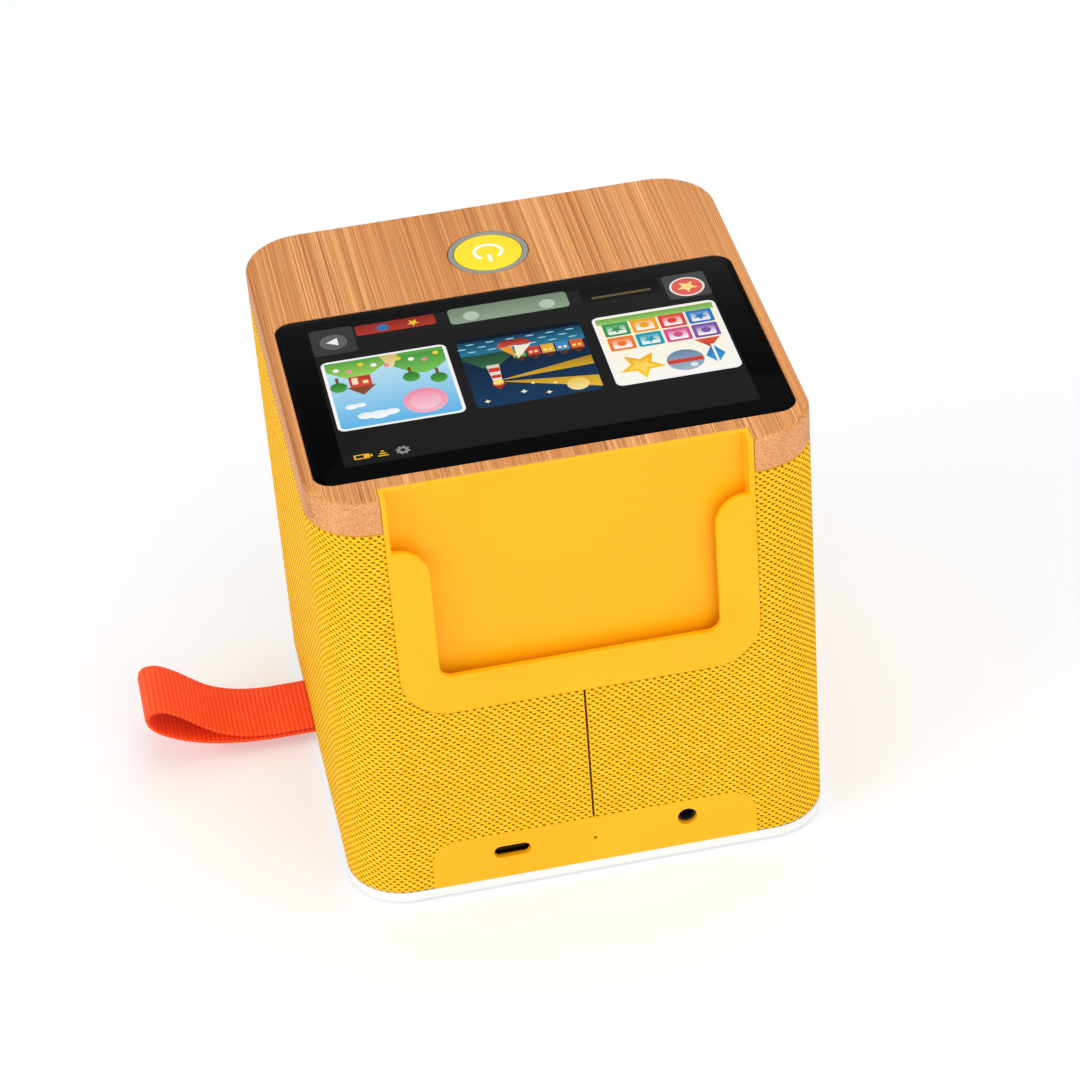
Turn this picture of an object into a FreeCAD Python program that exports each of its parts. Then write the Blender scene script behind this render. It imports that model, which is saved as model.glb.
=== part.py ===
import FreeCAD, Part
import math
import os
import re

import Sketcher
from FreeCAD import Placement, Rotation, Vector

# Children's audio story player, in millimetres.
# +Z is up and +X is to the right seen from the card side.
# -Y is the side with the card tray and the sockets.
# The origin is on the surface that the player stands on, under its middle.

doc = FreeCAD.newDocument("StoryPlayer")
sheet = doc.addObject("Spreadsheet::Sheet", "Sizes")

SIZES = [
    ("body_width", 122.0, "case, left to right"),
    ("body_depth", 126.0, "case, card side to listening side"),
    ("body_height", 122.0, "from the floor to the top face"),
    ("corner_radius", 15.2, "upright corners of the case"),
    ("fit_gap", 0.3, "assembly gap between moulded pieces"),
    ("top_thickness", 9.2, "bamboo plate"),
    ("top_edge_radius", 1.4, "rounding of the bamboo's upper edge"),
    ("rim_height", 3.1, "white base plate, seen edge"),
    ("base_edge_radius", 0.8, "rounding under the base plate"),
    ("foot_drop", 0.5, "how far the foot pad stands out below the base"),
    ("foot_width", 84.0, "rubber foot pad"),
    ("foot_depth", 92.0, "rubber foot pad"),
    ("foot_corner", 16.0, "rubber foot pad corners"),
    ("foot_recess", 0.9, "seat of the foot pad in the base"),
    ("cloth", 1.4, "knitted cover"),
    ("wall", 2.4, "moulded case wall"),
    ("deck", 2.4, "moulded deck under the bamboo"),
    ("glass_side", 3.2, "bamboo beside the glass"),
    ("glass_rear", 9.9, "from the card side to the glass"),
    ("glass_front", 42.7, "from the listening side to the glass"),
    ("glass_radius", 4.7, "cover glass corners"),
    ("glass_thickness", 1.1, "cover glass"),
    ("glass_drop", 0.1, "glass below the bamboo face"),
    ("glass_gap", 0.15, "gap round the glass"),
    ("lcd_side", 4.8, "glass beyond the display module"),
    ("lcd_end", 3.2, "glass beyond the display module, front and rear"),
    ("lcd_thickness", 3.2, "display module"),
    ("lcd_gap", 0.5, "gap round the display module"),
    ("sheet_steel", 0.8, "pressed steel of the display bracket"),
    ("tab_reach", 6.0, "bracket tab beyond the module"),
    ("tab_side", 11.0, "module beyond the bracket tab"),
    ("tab_screw_inset", 12.0, "bracket screws from the tab's ends"),
    ("screw_radius", 1.25, "self-tapping screws"),
    ("screw_head", 2.4, "screw head radius"),
    ("screw_head_height", 1.6, "screw head"),
    ("screw_gap", 0.05, "pilot holes, on the radius"),
    ("wood_bite", 5.0, "screw length in the bamboo"),
    ("front_screw_side", 21.0, "deck screws from the side, listening side"),
    ("front_screw_end", 15.0, "deck screws from the face, listening side"),
    ("rear_screw_side", 10.5, "deck screws from the side, card side"),
    ("rear_screw_end", 9.0, "deck screws from the face, card side"),
    ("button_end", 24.2, "power button from the listening side"),
    ("ring_radius", 10.3, "grey ring round the button"),
    ("ring_gap", 0.1, "ring in the bamboo, on the radius"),
    ("ring_flange", 2.4, "flange beyond the ring"),
    ("ring_flange_height", 1.6, "flange under the bamboo"),
    ("cap_radius", 8.75, "button cap"),
    ("cap_gap", 0.08, "cap in the ring, on the radius"),
    ("cap_height", 4.2, "cap with its skirt"),
    ("cap_face", 1.6, "cap face"),
    ("cap_skirt", 1.2, "skirt wall"),
    ("cap_edge", 0.3, "chamfer round the cap"),
    ("stem_radius", 2.2, "stem under the cap"),
    ("button_travel", 0.6, "button stroke"),
    ("stop_gap", 0.2, "cap above its stop at full stroke"),
    ("stop_height", 1.2, "stop ledge in the ring"),
    ("stop_radius", 6.0, "opening of the stop ledge"),
    ("switch_side", 6.0, "button switch"),
    ("switch_height", 3.4, "button switch"),
    ("actuator_radius", 1.6, "switch actuator"),
    ("actuator_rise", 1.2, "actuator above the switch"),
    ("actuator_depth", 1.4, "actuator inside the switch"),
    ("button_board_width", 40.0, "button board"),
    ("button_board_depth", 24.0, "button board"),
    ("button_board_thickness", 1.2, "button board"),
    ("button_screw_x", 16.5, "button board screws"),
    ("tray_side", 16.7, "case beside the card tray"),
    ("tray_height", 64.5, "card tray"),
    ("tray_corner", 12.0, "lower corners of the tray"),
    ("tray_depth", 5.6, "tray, front to back"),
    ("tray_back", 1.2, "wall behind the card"),
    ("tray_rim", 1.4, "side walls of the tray"),
    ("tray_floor", 2.0, "wall under the card"),
    ("lip_thickness", 1.8, "lip in front of the card"),
    ("lip_height", 49.1, "lip above the underside of the tray"),
    ("window_side", 9.9, "lip beside the window"),
    ("window_sill", 10.8, "sill under the window"),
    ("window_shoulder", 8.0, "rounded shoulders of the lip"),
    ("window_corner", 3.0, "lower corners of the window"),
    ("tray_flange", 3.0, "flange behind the case wall"),
    ("reader_side", 9.3, "tray beside the card reader board"),
    ("reader_height", 44.0, "card reader board"),
    ("reader_thickness", 1.0, "card reader board"),
    ("reader_lift", 6.5, "card reader board above the tray's underside"),
    ("peg_radius", 1.0, "pegs for the reader board"),
    ("peg_length", 2.0, "pegs for the reader board"),
    ("peg_inset", 4.0, "pegs from the board's edges"),
    ("panel_side", 19.7, "case beside the socket panel"),
    ("panel_height", 13.9, "socket panel"),
    ("panel_corner", 7.0, "upper corners of the panel"),
    ("panel_step", 2.0, "outer face beyond the block in the wall"),
    ("usb_x", -21.0, "charging socket"),
    ("usb_width", 8.9, "charging socket shell"),
    ("usb_height", 3.2, "charging socket shell"),
    ("usb_length", 7.6, "charging socket shell"),
    ("usb_skin", 0.3, "charging socket sheet"),
    ("usb_tongue", 0.7, "charging socket tongue"),
    ("socket_recess", 1.4, "sockets behind the panel face"),
    ("socket_gap", 0.2, "panel holes round the sockets"),
    ("jack_x", 23.6, "headphone socket"),
    ("jack_rise", 2.4, "headphone bore above the board"),
    ("jack_nose", 2.3, "headphone nose radius"),
    ("jack_bore", 1.8, "headphone bore radius"),
    ("jack_depth", 14.0, "headphone bore depth"),
    ("jack_width", 6.4, "headphone socket body"),
    ("jack_height", 5.0, "headphone socket body"),
    ("reset_rise", 0.9, "reset pin above the board"),
    ("reset_hole", 0.5, "reset pinhole radius"),
    ("reset_pin", 0.55, "reset pin radius"),
    ("reset_gap", 0.05, "reset pin in its switch, on the radius"),
    ("reset_length", 2.4, "reset pin"),
    ("reset_inside", 0.7, "reset pin inside its switch"),
    ("reset_travel", 0.3, "reset stroke"),
    ("reset_side", 3.6, "reset switch"),
    ("reset_height", 2.0, "reset switch"),
    ("board_side", 17.5, "case beside the main board"),
    ("board_end", 4.7, "main board from the card side"),
    ("board_clear", 1.2, "main board from the battery clamp"),
    ("board_thickness", 1.6, "main board"),
    ("board_lift", 4.8, "main board above the base plate"),
    ("board_screw_inset", 5.0, "board screws from its edges"),
    ("stud_radius", 3.0, "screw studs on the base"),
    ("post_radius", 4.2, "case posts for the base screws"),
    ("post_side", 12.5, "case posts from the side"),
    ("post_front", 12.5, "case posts from the listening side"),
    ("post_rear", 25.0, "case posts from the card side"),
    ("post_rib", 2.0, "rib that ties a post to the wall"),
    ("base_rim", 5.0, "spigot of the base inside the case"),
    ("base_rim_thickness", 1.8, "spigot of the base"),
    ("base_screw_radius", 1.5, "base screws"),
    ("base_screw_head", 2.8, "base screw heads"),
    ("base_screw_length", 16.0, "base screws under the head"),
    ("base_counterbore", 3.2, "base screw recess radius"),
    ("base_counter_depth", 4.0, "base screw recess depth"),
    ("battery_length", 67.0, "battery pack, two cells"),
    ("battery_width", 37.4, "battery pack"),
    ("battery_height", 18.6, "battery pack"),
    ("battery_end", 36.0, "middle of the battery from the listening side"),
    ("battery_lift", 1.4, "battery above the base plate"),
    ("cradle_inset", 11.5, "cradle ribs from the battery's ends"),
    ("cradle_rib", 2.0, "cradle ribs"),
    ("cradle_height", 7.0, "cradle ribs"),
    ("clamp_width", 14.0, "battery clamp"),
    ("clamp_sheet", 1.4, "battery clamp"),
    ("clamp_foot", 7.5, "battery clamp foot"),
    ("speaker_rise", 1.0, "loudspeaker above half the height"),
    ("speaker_radius", 32.0, "loudspeaker flange"),
    ("gasket", 1.0, "loudspeaker gasket"),
    ("basket_sheet", 1.2, "loudspeaker basket"),
    ("basket_depth", 15.0, "loudspeaker basket"),
    ("basket_floor", 16.5, "loudspeaker basket floor radius"),
    ("speaker_opening", 25.8, "opening of the flange"),
    ("speaker_screw_ring", 29.5, "loudspeaker screw circle radius"),
    ("plate_thickness", 3.0, "loudspeaker pole plates"),
    ("magnet_radius", 16.0, "loudspeaker magnet"),
    ("magnet_height", 8.0, "loudspeaker magnet"),
    ("pole_radius", 6.0, "loudspeaker pole"),
    ("coil_radius", 6.4, "voice coil, inside"),
    ("coil_wall", 0.5, "voice coil"),
    ("coil_gap", 0.4, "air gap beside the coil"),
    ("coil_length", 12.0, "voice coil former"),
    ("cone_radius", 21.0, "cone edge"),
    ("cone_depth", 8.0, "cone"),
    ("cone_paper", 0.6, "cone"),
    ("cone_set", 2.0, "cone edge behind the flange"),
    ("dome_radius", 8.6, "dust cap"),
    ("spider_radius", 14.0, "loudspeaker spider"),
    ("spider_sheet", 0.5, "loudspeaker spider"),
    ("spider_lift", 2.4, "spider above the basket floor"),
    ("seat_gap", 0.1, "glue line beside the moving pieces"),
    ("grille_radius", 25.0, "slotted grille"),
    ("grille_slot", 3.0, "slot width"),
    ("grille_pitch", 5.5, "slot spacing"),
    ("strap_end", 45.5, "middle of the strap from the listening side"),
    ("strap_width", 20.0, "strap webbing"),
    ("strap_layer", 1.2, "strap webbing"),
    ("strap_slack", 0.1, "between the two layers"),
    ("strap_root", 0.3, "bending root of the strap from the case"),
    ("strap_inside", 12.5, "sewn end inside the case"),
    ("strap_bar", 3.0, "bar that clamps the strap"),
    ("strap_bar_length", 32.0, "bar that clamps the strap"),
    ("strap_bar_width", 6.0, "bar that clamps the strap"),
]

for row, (alias, value, note) in enumerate(SIZES, start=1):
    sheet.set(f"A{row}", alias)
    sheet.set(f"B{row}", str(value))
    sheet.set(f"C{row}", note)
    sheet.setAlias(f"B{row}", alias)
doc.recompute()

# Places and sizes that follow from the table
DERIVED = {
    "case_bottom": "foot_drop + rim_height",
    "top_bottom": "body_height - top_thickness",
    "deck_bottom": "top_bottom - deck",
    "inner_width": "body_width - 2 * (cloth + wall)",
    "inner_depth": "body_depth - 2 * (cloth + wall)",
    "rear": "-body_depth / 2",
    "rear_inside": "rear + cloth + wall",
    "tray_rear": "rear + tray_depth",
    "glass_width": "body_width - 2 * glass_side",
    "glass_depth": "body_depth - glass_rear - glass_front",
    "glass_y": "(glass_rear - glass_front) / 2",
    "glass_bottom": "body_height - glass_drop - glass_thickness",
    "lcd_width": "glass_width - 2 * lcd_side",
    "lcd_depth": "glass_depth - 2 * lcd_end",
    "lcd_bottom": "glass_bottom - lcd_thickness",
    "tab_width": "lcd_width - 2 * tab_side",
    "tab_screw_x": "tab_width / 2 - tab_screw_inset",
    "tab_screw_y": "lcd_depth / 2 + lcd_gap + tab_reach / 2",
    "front_screw_x": "body_width / 2 - front_screw_side",
    "front_screw_y": "body_depth / 2 - front_screw_end",
    "rear_screw_x": "body_width / 2 - rear_screw_side",
    "rear_screw_y": "body_depth / 2 - rear_screw_end",
    "button_y": "body_depth / 2 - button_end",
    "tray_width": "body_width - 2 * tray_side",
    "tray_bottom": "body_height - tray_height",
    "window_width": "tray_width - 2 * window_side",
    "reader_width": "tray_width - 2 * reader_side",
    "reader_z": "tray_bottom + reader_lift + reader_height / 2",
    "panel_width": "body_width - 2 * panel_side",
    "board_width": "body_width - 2 * board_side",
    "board_bottom": "case_bottom + board_lift",
    "board_top": "board_bottom + board_thickness",
    "board_rear": "rear + board_end",
    "board_front": "battery_y - clamp_reach - board_clear",
    "board_length": "board_front - board_rear",
    "board_middle": "(board_front + board_rear) / 2",
    "usb_z": "board_top + usb_height / 2",
    "jack_z": "board_top + jack_rise",
    "reset_z": "board_top + reset_rise",
    "socket_front": "rear + socket_recess",
    "post_x": "body_width / 2 - post_side",
    "post_front_y": "body_depth / 2 - post_front",
    "post_rear_y": "body_depth / 2 - post_rear",
    "battery_y": "body_depth / 2 - battery_end",
    "cradle_x": "battery_length / 2 - cradle_inset",
    "clamp_inside": "battery_width / 2 + fit_gap",
    "clamp_reach": "clamp_inside + clamp_sheet + clamp_foot",
    "speaker_z": "body_height / 2 + speaker_rise",
    "strap_y": "body_depth / 2 - strap_end",
    "strap_double": "2 * strap_layer + strap_slack",
    "strap_bar_x": "-inner_width / 2 + fit_gap + base_rim_thickness + strap_bar_width / 2",
    "strap_screw_y": "strap_width / 2 + (strap_bar_length - strap_width) / 4",
}

ALIASES = {alias for alias, value, note in SIZES}
WORD = re.compile(r"[a-z_]+")


def tied(text):
    """Expression in which each name points at its cell, or at what it follows from."""
    def point(word):
        name = word.group()
        if name in DERIVED:
            return "(" + tied(DERIVED[name]) + ")"
        return "Sizes." + name if name in ALIASES else name
    return WORD.sub(point, text)


def value_of(text):
    return float(sheet.evalExpression(tied(text)))


pieces = {}


def new_body(label):
    """Empty body for one piece, filed under its node name."""
    body = doc.addObject("PartDesign::Body", label)
    body.Label = label
    body.AllowCompound = True
    pieces[label] = body
    return body


def new_sketch(body, role="XY_Plane", offset=None):
    """Sketch on one of the body's own planes, moved along the plane's normal."""
    sketch = body.newObject("Sketcher::SketchObject", body.Name + "_sketch")
    plane = next(item for item in body.Origin.OriginFeatures if item.Role == role)
    sketch.AttachmentSupport = [(plane, "")]
    sketch.MapMode = "FlatFace"
    if offset is not None:
        sketch.setExpression("AttachmentOffset.Base.z", tied(offset))
    return sketch


def limit(sketch, kind, places, text):
    """Adds one driving constraint and ties it to the sizes."""
    number = sketch.addConstraint(Sketcher.Constraint(kind, *places, value_of(text)))
    sketch.setExpression(f"Constraints[{number}]", tied(text))


def pin(sketch, line, point, x, y):
    limit(sketch, "DistanceX", (line, point), x)
    limit(sketch, "DistanceY", (line, point), y)


def circle(sketch, x, y, radius):
    centre = Vector(value_of(x), value_of(y), 0)
    number = sketch.addGeometry(Part.Circle(centre, Vector(0, 0, 1), value_of(radius)), False)
    pin(sketch, number, 3, x, y)
    limit(sketch, "Radius", (number,), radius)


def polygon(sketch, corners):
    """Closed outline of straight lines through the corners."""
    places = [Vector(value_of(x), value_of(y), 0) for x, y in corners]
    count = len(places)
    lines = []
    for i in range(count):
        lines.append(sketch.addGeometry(Part.LineSegment(places[i], places[(i + 1) % count]), False))
    for i in range(count):
        sketch.addConstraint(Sketcher.Constraint("Coincident", lines[i - 1], 2, lines[i], 1))
        pin(sketch, lines[i], 1, *corners[i])


def outline(sketch, corners):
    """Closed outline of level and upright lines, whose corners may be rounded.

    Each corner is (x, y) or (x, y, radius).
    """
    places = [Vector(value_of(corner[0]), value_of(corner[1]), 0) for corner in corners]
    rounds = [value_of(corner[2]) if len(corner) > 2 else 0.0 for corner in corners]
    count = len(places)
    ways = []
    for i in range(count):
        step = places[(i + 1) % count] - places[i]
        ways.append(step / step.Length)
    lines = []
    for i in range(count):
        start = places[i] + ways[i] * rounds[i]
        end = places[(i + 1) % count] - ways[i] * rounds[(i + 1) % count]
        lines.append(sketch.addGeometry(Part.LineSegment(start, end), False))
    for i in range(count):
        before, after = lines[i - 1], lines[i]
        x, y = corners[i][:2]
        if not rounds[i]:
            sketch.addConstraint(Sketcher.Constraint("Coincident", before, 2, after, 1))
            pin(sketch, after, 1, x, y)
            continue
        turn = ways[i] - ways[i - 1]
        centre = places[i] + turn * rounds[i]
        start = places[i] - ways[i - 1] * rounds[i] - centre
        end = places[i] + ways[i] * rounds[i] - centre
        left_turn = ways[i - 1].cross(ways[i]).z > 0
        if not left_turn:
            start, end = end, start
        full = Part.Circle(centre, Vector(0, 0, 1), rounds[i])
        first = math.atan2(start.y, start.x)
        last = math.atan2(end.y, end.x)
        if last < first:
            last += 2 * math.pi
        arc = sketch.addGeometry(Part.ArcOfCircle(full, first, last), False)
        near, far = (1, 2) if left_turn else (2, 1)
        sketch.addConstraint(Sketcher.Constraint("Tangent", before, 2, arc, near))
        sketch.addConstraint(Sketcher.Constraint("Tangent", arc, far, after, 1))
        radius = corners[i][2]
        pin(sketch, arc, 3, f"{x} + {round(turn.x)} * ({radius})", f"{y} + {round(turn.y)} * ({radius})")
        limit(sketch, "Radius", (arc,), radius)


def rectangle(sketch, x, y, width, depth, radius=None):
    """Rectangle about (x, y), with rounded corners where a radius is given."""
    corners = []
    for side, end in ((-1, -1), (1, -1), (1, 1), (-1, 1)):
        corner = (f"{x} + {side} * ({width}) / 2", f"{y} + {end} * ({depth}) / 2")
        corners.append(corner if radius is None else corner + (radius,))
    outline(sketch, corners)


def feature(kind, body, sketch, **settings):
    """Adds a feature made from a sketch, and ties its lengths to the sizes."""
    item = body.newObject("PartDesign::" + kind, f"{body.Name}_{kind}")
    item.Profile = sketch
    for name, setting in settings.items():
        if isinstance(setting, str) and name in ("Length", "Angle"):
            item.setExpression(name, tied(setting))
        else:
            setattr(item, name, setting)
    sketch.Visibility = False
    body.Tip = item
    return item


def pad(body, sketch, length, reverse=False, midplane=False):
    settings = {"Length": length, "Reversed": reverse}
    if midplane:
        settings["Midplane"] = True
    return feature("Pad", body, sketch, **settings)


def pocket(body, sketch, length, reverse=False, midplane=False):
    """Cuts against the sketch's normal, or along it when reversed."""
    settings = {"Length": length, "Reversed": reverse}
    if midplane:
        settings["Midplane"] = True
    return feature("Pocket", body, sketch, **settings)


def revolve(body, sketch):
    return feature("Revolution", body, sketch, ReferenceAxis=(sketch, ["V_Axis"]), Angle=360)


def turned(label, corners):
    """Piece turned about the Z axis from corners given as (radius, height)."""
    body = new_body(label)
    sketch = new_sketch(body, "XZ_Plane")
    polygon(sketch, corners)
    revolve(body, sketch)
    return body


def round_edges(body, radius, wanted):
    """Fillets the edges of the body's last feature that the test accepts."""
    doc.recompute()
    base = body.Tip
    names = [f"Edge{i}" for i, edge in enumerate(base.Shape.Edges, start=1) if wanted(edge)]
    item = body.newObject("PartDesign::Fillet", body.Name + "_Fillet")
    item.Base = (base, names)
    item.setExpression("Radius", tied(radius))
    body.Tip = item
    return item


def flat_at(height):
    """Test for edges that lie at one height."""
    level = value_of(height)
    return lambda edge: abs(edge.BoundBox.ZMin - level) < 1e-6 and abs(edge.BoundBox.ZMax - level) < 1e-6


def studs(label, places, stages, role="XY_Plane"):
    """Round pieces standing along one axis: each stage is (radius, start, length)."""
    body = new_body(label)
    for radius, start, length in stages:
        sketch = new_sketch(body, role, start)
        for x, y in places:
            circle(sketch, x, y, radius)
        pad(body, sketch, length)
    return body


def both_sides(x, y):
    return [(f"{side} * ({x})", y) for side in (-1, 1)]


deck_screws = both_sides("front_screw_x", "front_screw_y") + both_sides("rear_screw_x", "-rear_screw_y")
tab_screws = []
for end in (-1, 1):
    tab_screws += both_sides("tab_screw_x", f"glass_y + {end} * tab_screw_y")
posts = both_sides("post_x", "post_front_y") + both_sides("post_x", "-post_rear_y")
board_screws = []
for edge in ("board_rear + board_screw_inset", "board_front - board_screw_inset"):
    board_screws += both_sides("board_width / 2 - board_screw_inset", edge)
clamp_screws = [("0", f"battery_y + {end} * (clamp_reach - clamp_foot / 2)") for end in (-1, 1)]
strap_screws = [("strap_bar_x", f"strap_y + {end} * strap_screw_y") for end in (-1, 1)]
reader_pegs = []
for end in (-1, 1):
    peg_z = f"reader_z + {end} * (reader_height / 2 - peg_inset)"
    reader_pegs += both_sides("reader_width / 2 - peg_inset", peg_z)


def case_outline(sketch, inset="0"):
    """Outline of the case in plan, moved inwards by the inset."""
    rectangle(sketch, "0", "0", f"body_width - 2 * ({inset})", f"body_depth - 2 * ({inset})",
              f"corner_radius - ({inset})")


# Bamboo plate: milled from laminated bamboo, with a seat for the glass,
# a window for the display module, the button hole and a notch for the card tray.
def make_bamboo_top():
    body = new_body("bamboo_top")
    sketch = new_sketch(body, offset="top_bottom")
    case_outline(sketch)
    pad(body, sketch, "top_thickness")
    round_edges(body, "top_edge_radius", flat_at("body_height"))
    sketch = new_sketch(body, offset="body_height")
    rectangle(sketch, "0", "glass_y", "glass_width + 2 * glass_gap", "glass_depth + 2 * glass_gap",
              "glass_radius + glass_gap")
    pocket(body, sketch, "glass_drop + glass_thickness")
    sketch = new_sketch(body, offset="body_height")
    rectangle(sketch, "0", "glass_y", "lcd_width + 2 * lcd_gap", "lcd_depth + 2 * lcd_gap", "lcd_gap")
    circle(sketch, "0", "button_y", "ring_radius + ring_gap")
    outline(sketch, [
        ("-tray_width / 2", "rear - wall"),
        ("tray_width / 2", "rear - wall"),
        ("tray_width / 2", "tray_rear"),
        ("-tray_width / 2", "tray_rear")])
    pocket(body, sketch, "top_thickness")
    sketch = new_sketch(body, offset="top_bottom")
    for x, y in deck_screws + tab_screws:
        circle(sketch, x, y, "screw_radius + screw_gap")
    pocket(body, sketch, "wood_bite", reverse=True)


def make_display():
    body = new_body("display_glass")
    sketch = new_sketch(body, offset="glass_bottom")
    rectangle(sketch, "0", "glass_y", "glass_width", "glass_depth", "glass_radius")
    pad(body, sketch, "glass_thickness")

    body = new_body("lcd_module")
    sketch = new_sketch(body, offset="lcd_bottom")
    rectangle(sketch, "0", "glass_y", "lcd_width", "lcd_depth")
    pad(body, sketch, "lcd_thickness")

    # Pressed steel tray that lifts the module against the glass, with two tabs under the bamboo
    body = new_body("display_bracket")
    pan_height = "(lcd_bottom - top_bottom + sheet_steel)"
    sketch = new_sketch(body, offset="top_bottom - sheet_steel")
    rectangle(sketch, "0", "glass_y", "lcd_width", "lcd_depth")
    pad(body, sketch, pan_height)
    sketch = new_sketch(body, offset="top_bottom - sheet_steel")
    rectangle(sketch, "0", "glass_y", "lcd_width - 2 * sheet_steel", "lcd_depth - 2 * sheet_steel")
    pocket(body, sketch, f"{pan_height} - sheet_steel", reverse=True)
    sketch = new_sketch(body, offset="top_bottom - sheet_steel")
    for end in (-1, 1):
        near = f"glass_y + {end} * (lcd_depth / 2 - sheet_steel)"
        far = f"glass_y + {end} * (lcd_depth / 2 + lcd_gap + tab_reach)"
        low, high = (far, near) if end < 0 else (near, far)
        outline(sketch, [
            ("-tab_width / 2", low),
            ("tab_width / 2", low),
            ("tab_width / 2", high),
            ("-tab_width / 2", high)])
    for x, y in tab_screws:
        circle(sketch, x, y, "screw_radius + screw_gap")
    pad(body, sketch, "sheet_steel")
    studs("bracket_screws", tab_screws, [
        ("screw_head", "top_bottom - sheet_steel - screw_head_height", "screw_head_height"),
        ("screw_radius", "top_bottom - sheet_steel", "sheet_steel + wood_bite - fit_gap")])


def make_button():
    """Push button: cap, ring, switch and board. The cap and the actuator move down together."""
    cap_bottom = "(body_height - cap_height)"
    stop_top = f"({cap_bottom} - button_travel - stop_gap)"
    stop_bottom = f"({stop_top} - stop_height)"
    bore = "(cap_radius + cap_gap)"
    flange_bottom = "(top_bottom - ring_flange_height)"
    ring = turned("button_ring", [
        (bore, flange_bottom),
        ("ring_radius + ring_flange", flange_bottom),
        ("ring_radius + ring_flange", "top_bottom"),
        ("ring_radius", "top_bottom"),
        ("ring_radius", "body_height"),
        (bore, "body_height"),
        (bore, stop_top),
        ("stop_radius", stop_top),
        ("stop_radius", stop_bottom),
        (bore, stop_bottom)])
    switch_top = "(deck_bottom + switch_height)"
    actuator_top = f"({switch_top} + actuator_rise)"
    face_bottom = "(body_height - cap_face)"
    cap = turned("button_cap", [
        ("0", actuator_top),
        ("stem_radius", actuator_top),
        ("stem_radius", face_bottom),
        ("cap_radius - cap_skirt", face_bottom),
        ("cap_radius - cap_skirt", cap_bottom),
        ("cap_radius", cap_bottom),
        ("cap_radius", "body_height - cap_edge"),
        ("cap_radius - cap_edge", "body_height"),
        ("0", "body_height")])
    for body in (ring, cap):
        body.setExpression("Placement.Base.y", tied("button_y"))

    studs("switch_actuator", [("0", "button_y")], [
        ("actuator_radius", f"{switch_top} - actuator_depth", "actuator_depth + actuator_rise")])
    body = new_body("button_switch")
    sketch = new_sketch(body, offset="deck_bottom")
    rectangle(sketch, "0", "button_y", "switch_side", "switch_side")
    pad(body, sketch, "switch_height")
    sketch = new_sketch(body, offset=switch_top)
    circle(sketch, "0", "button_y", "actuator_radius + cap_gap")
    pocket(body, sketch, "actuator_depth + button_travel + stop_gap")

    places = both_sides("button_screw_x", "button_y")
    body = new_body("button_board")
    board_low = "(deck_bottom - button_board_thickness)"
    sketch = new_sketch(body, offset=board_low)
    rectangle(sketch, "0", "button_y", "button_board_width", "button_board_depth", "button_board_thickness")
    for x, y in places:
        circle(sketch, x, y, "screw_radius + screw_gap")
    pad(body, sketch, "button_board_thickness")
    studs("button_board_screws", places, [
        ("screw_head", f"{board_low} - screw_head_height", "screw_head_height"),
        ("screw_radius", board_low, "button_board_thickness + deck - fit_gap")])


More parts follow.
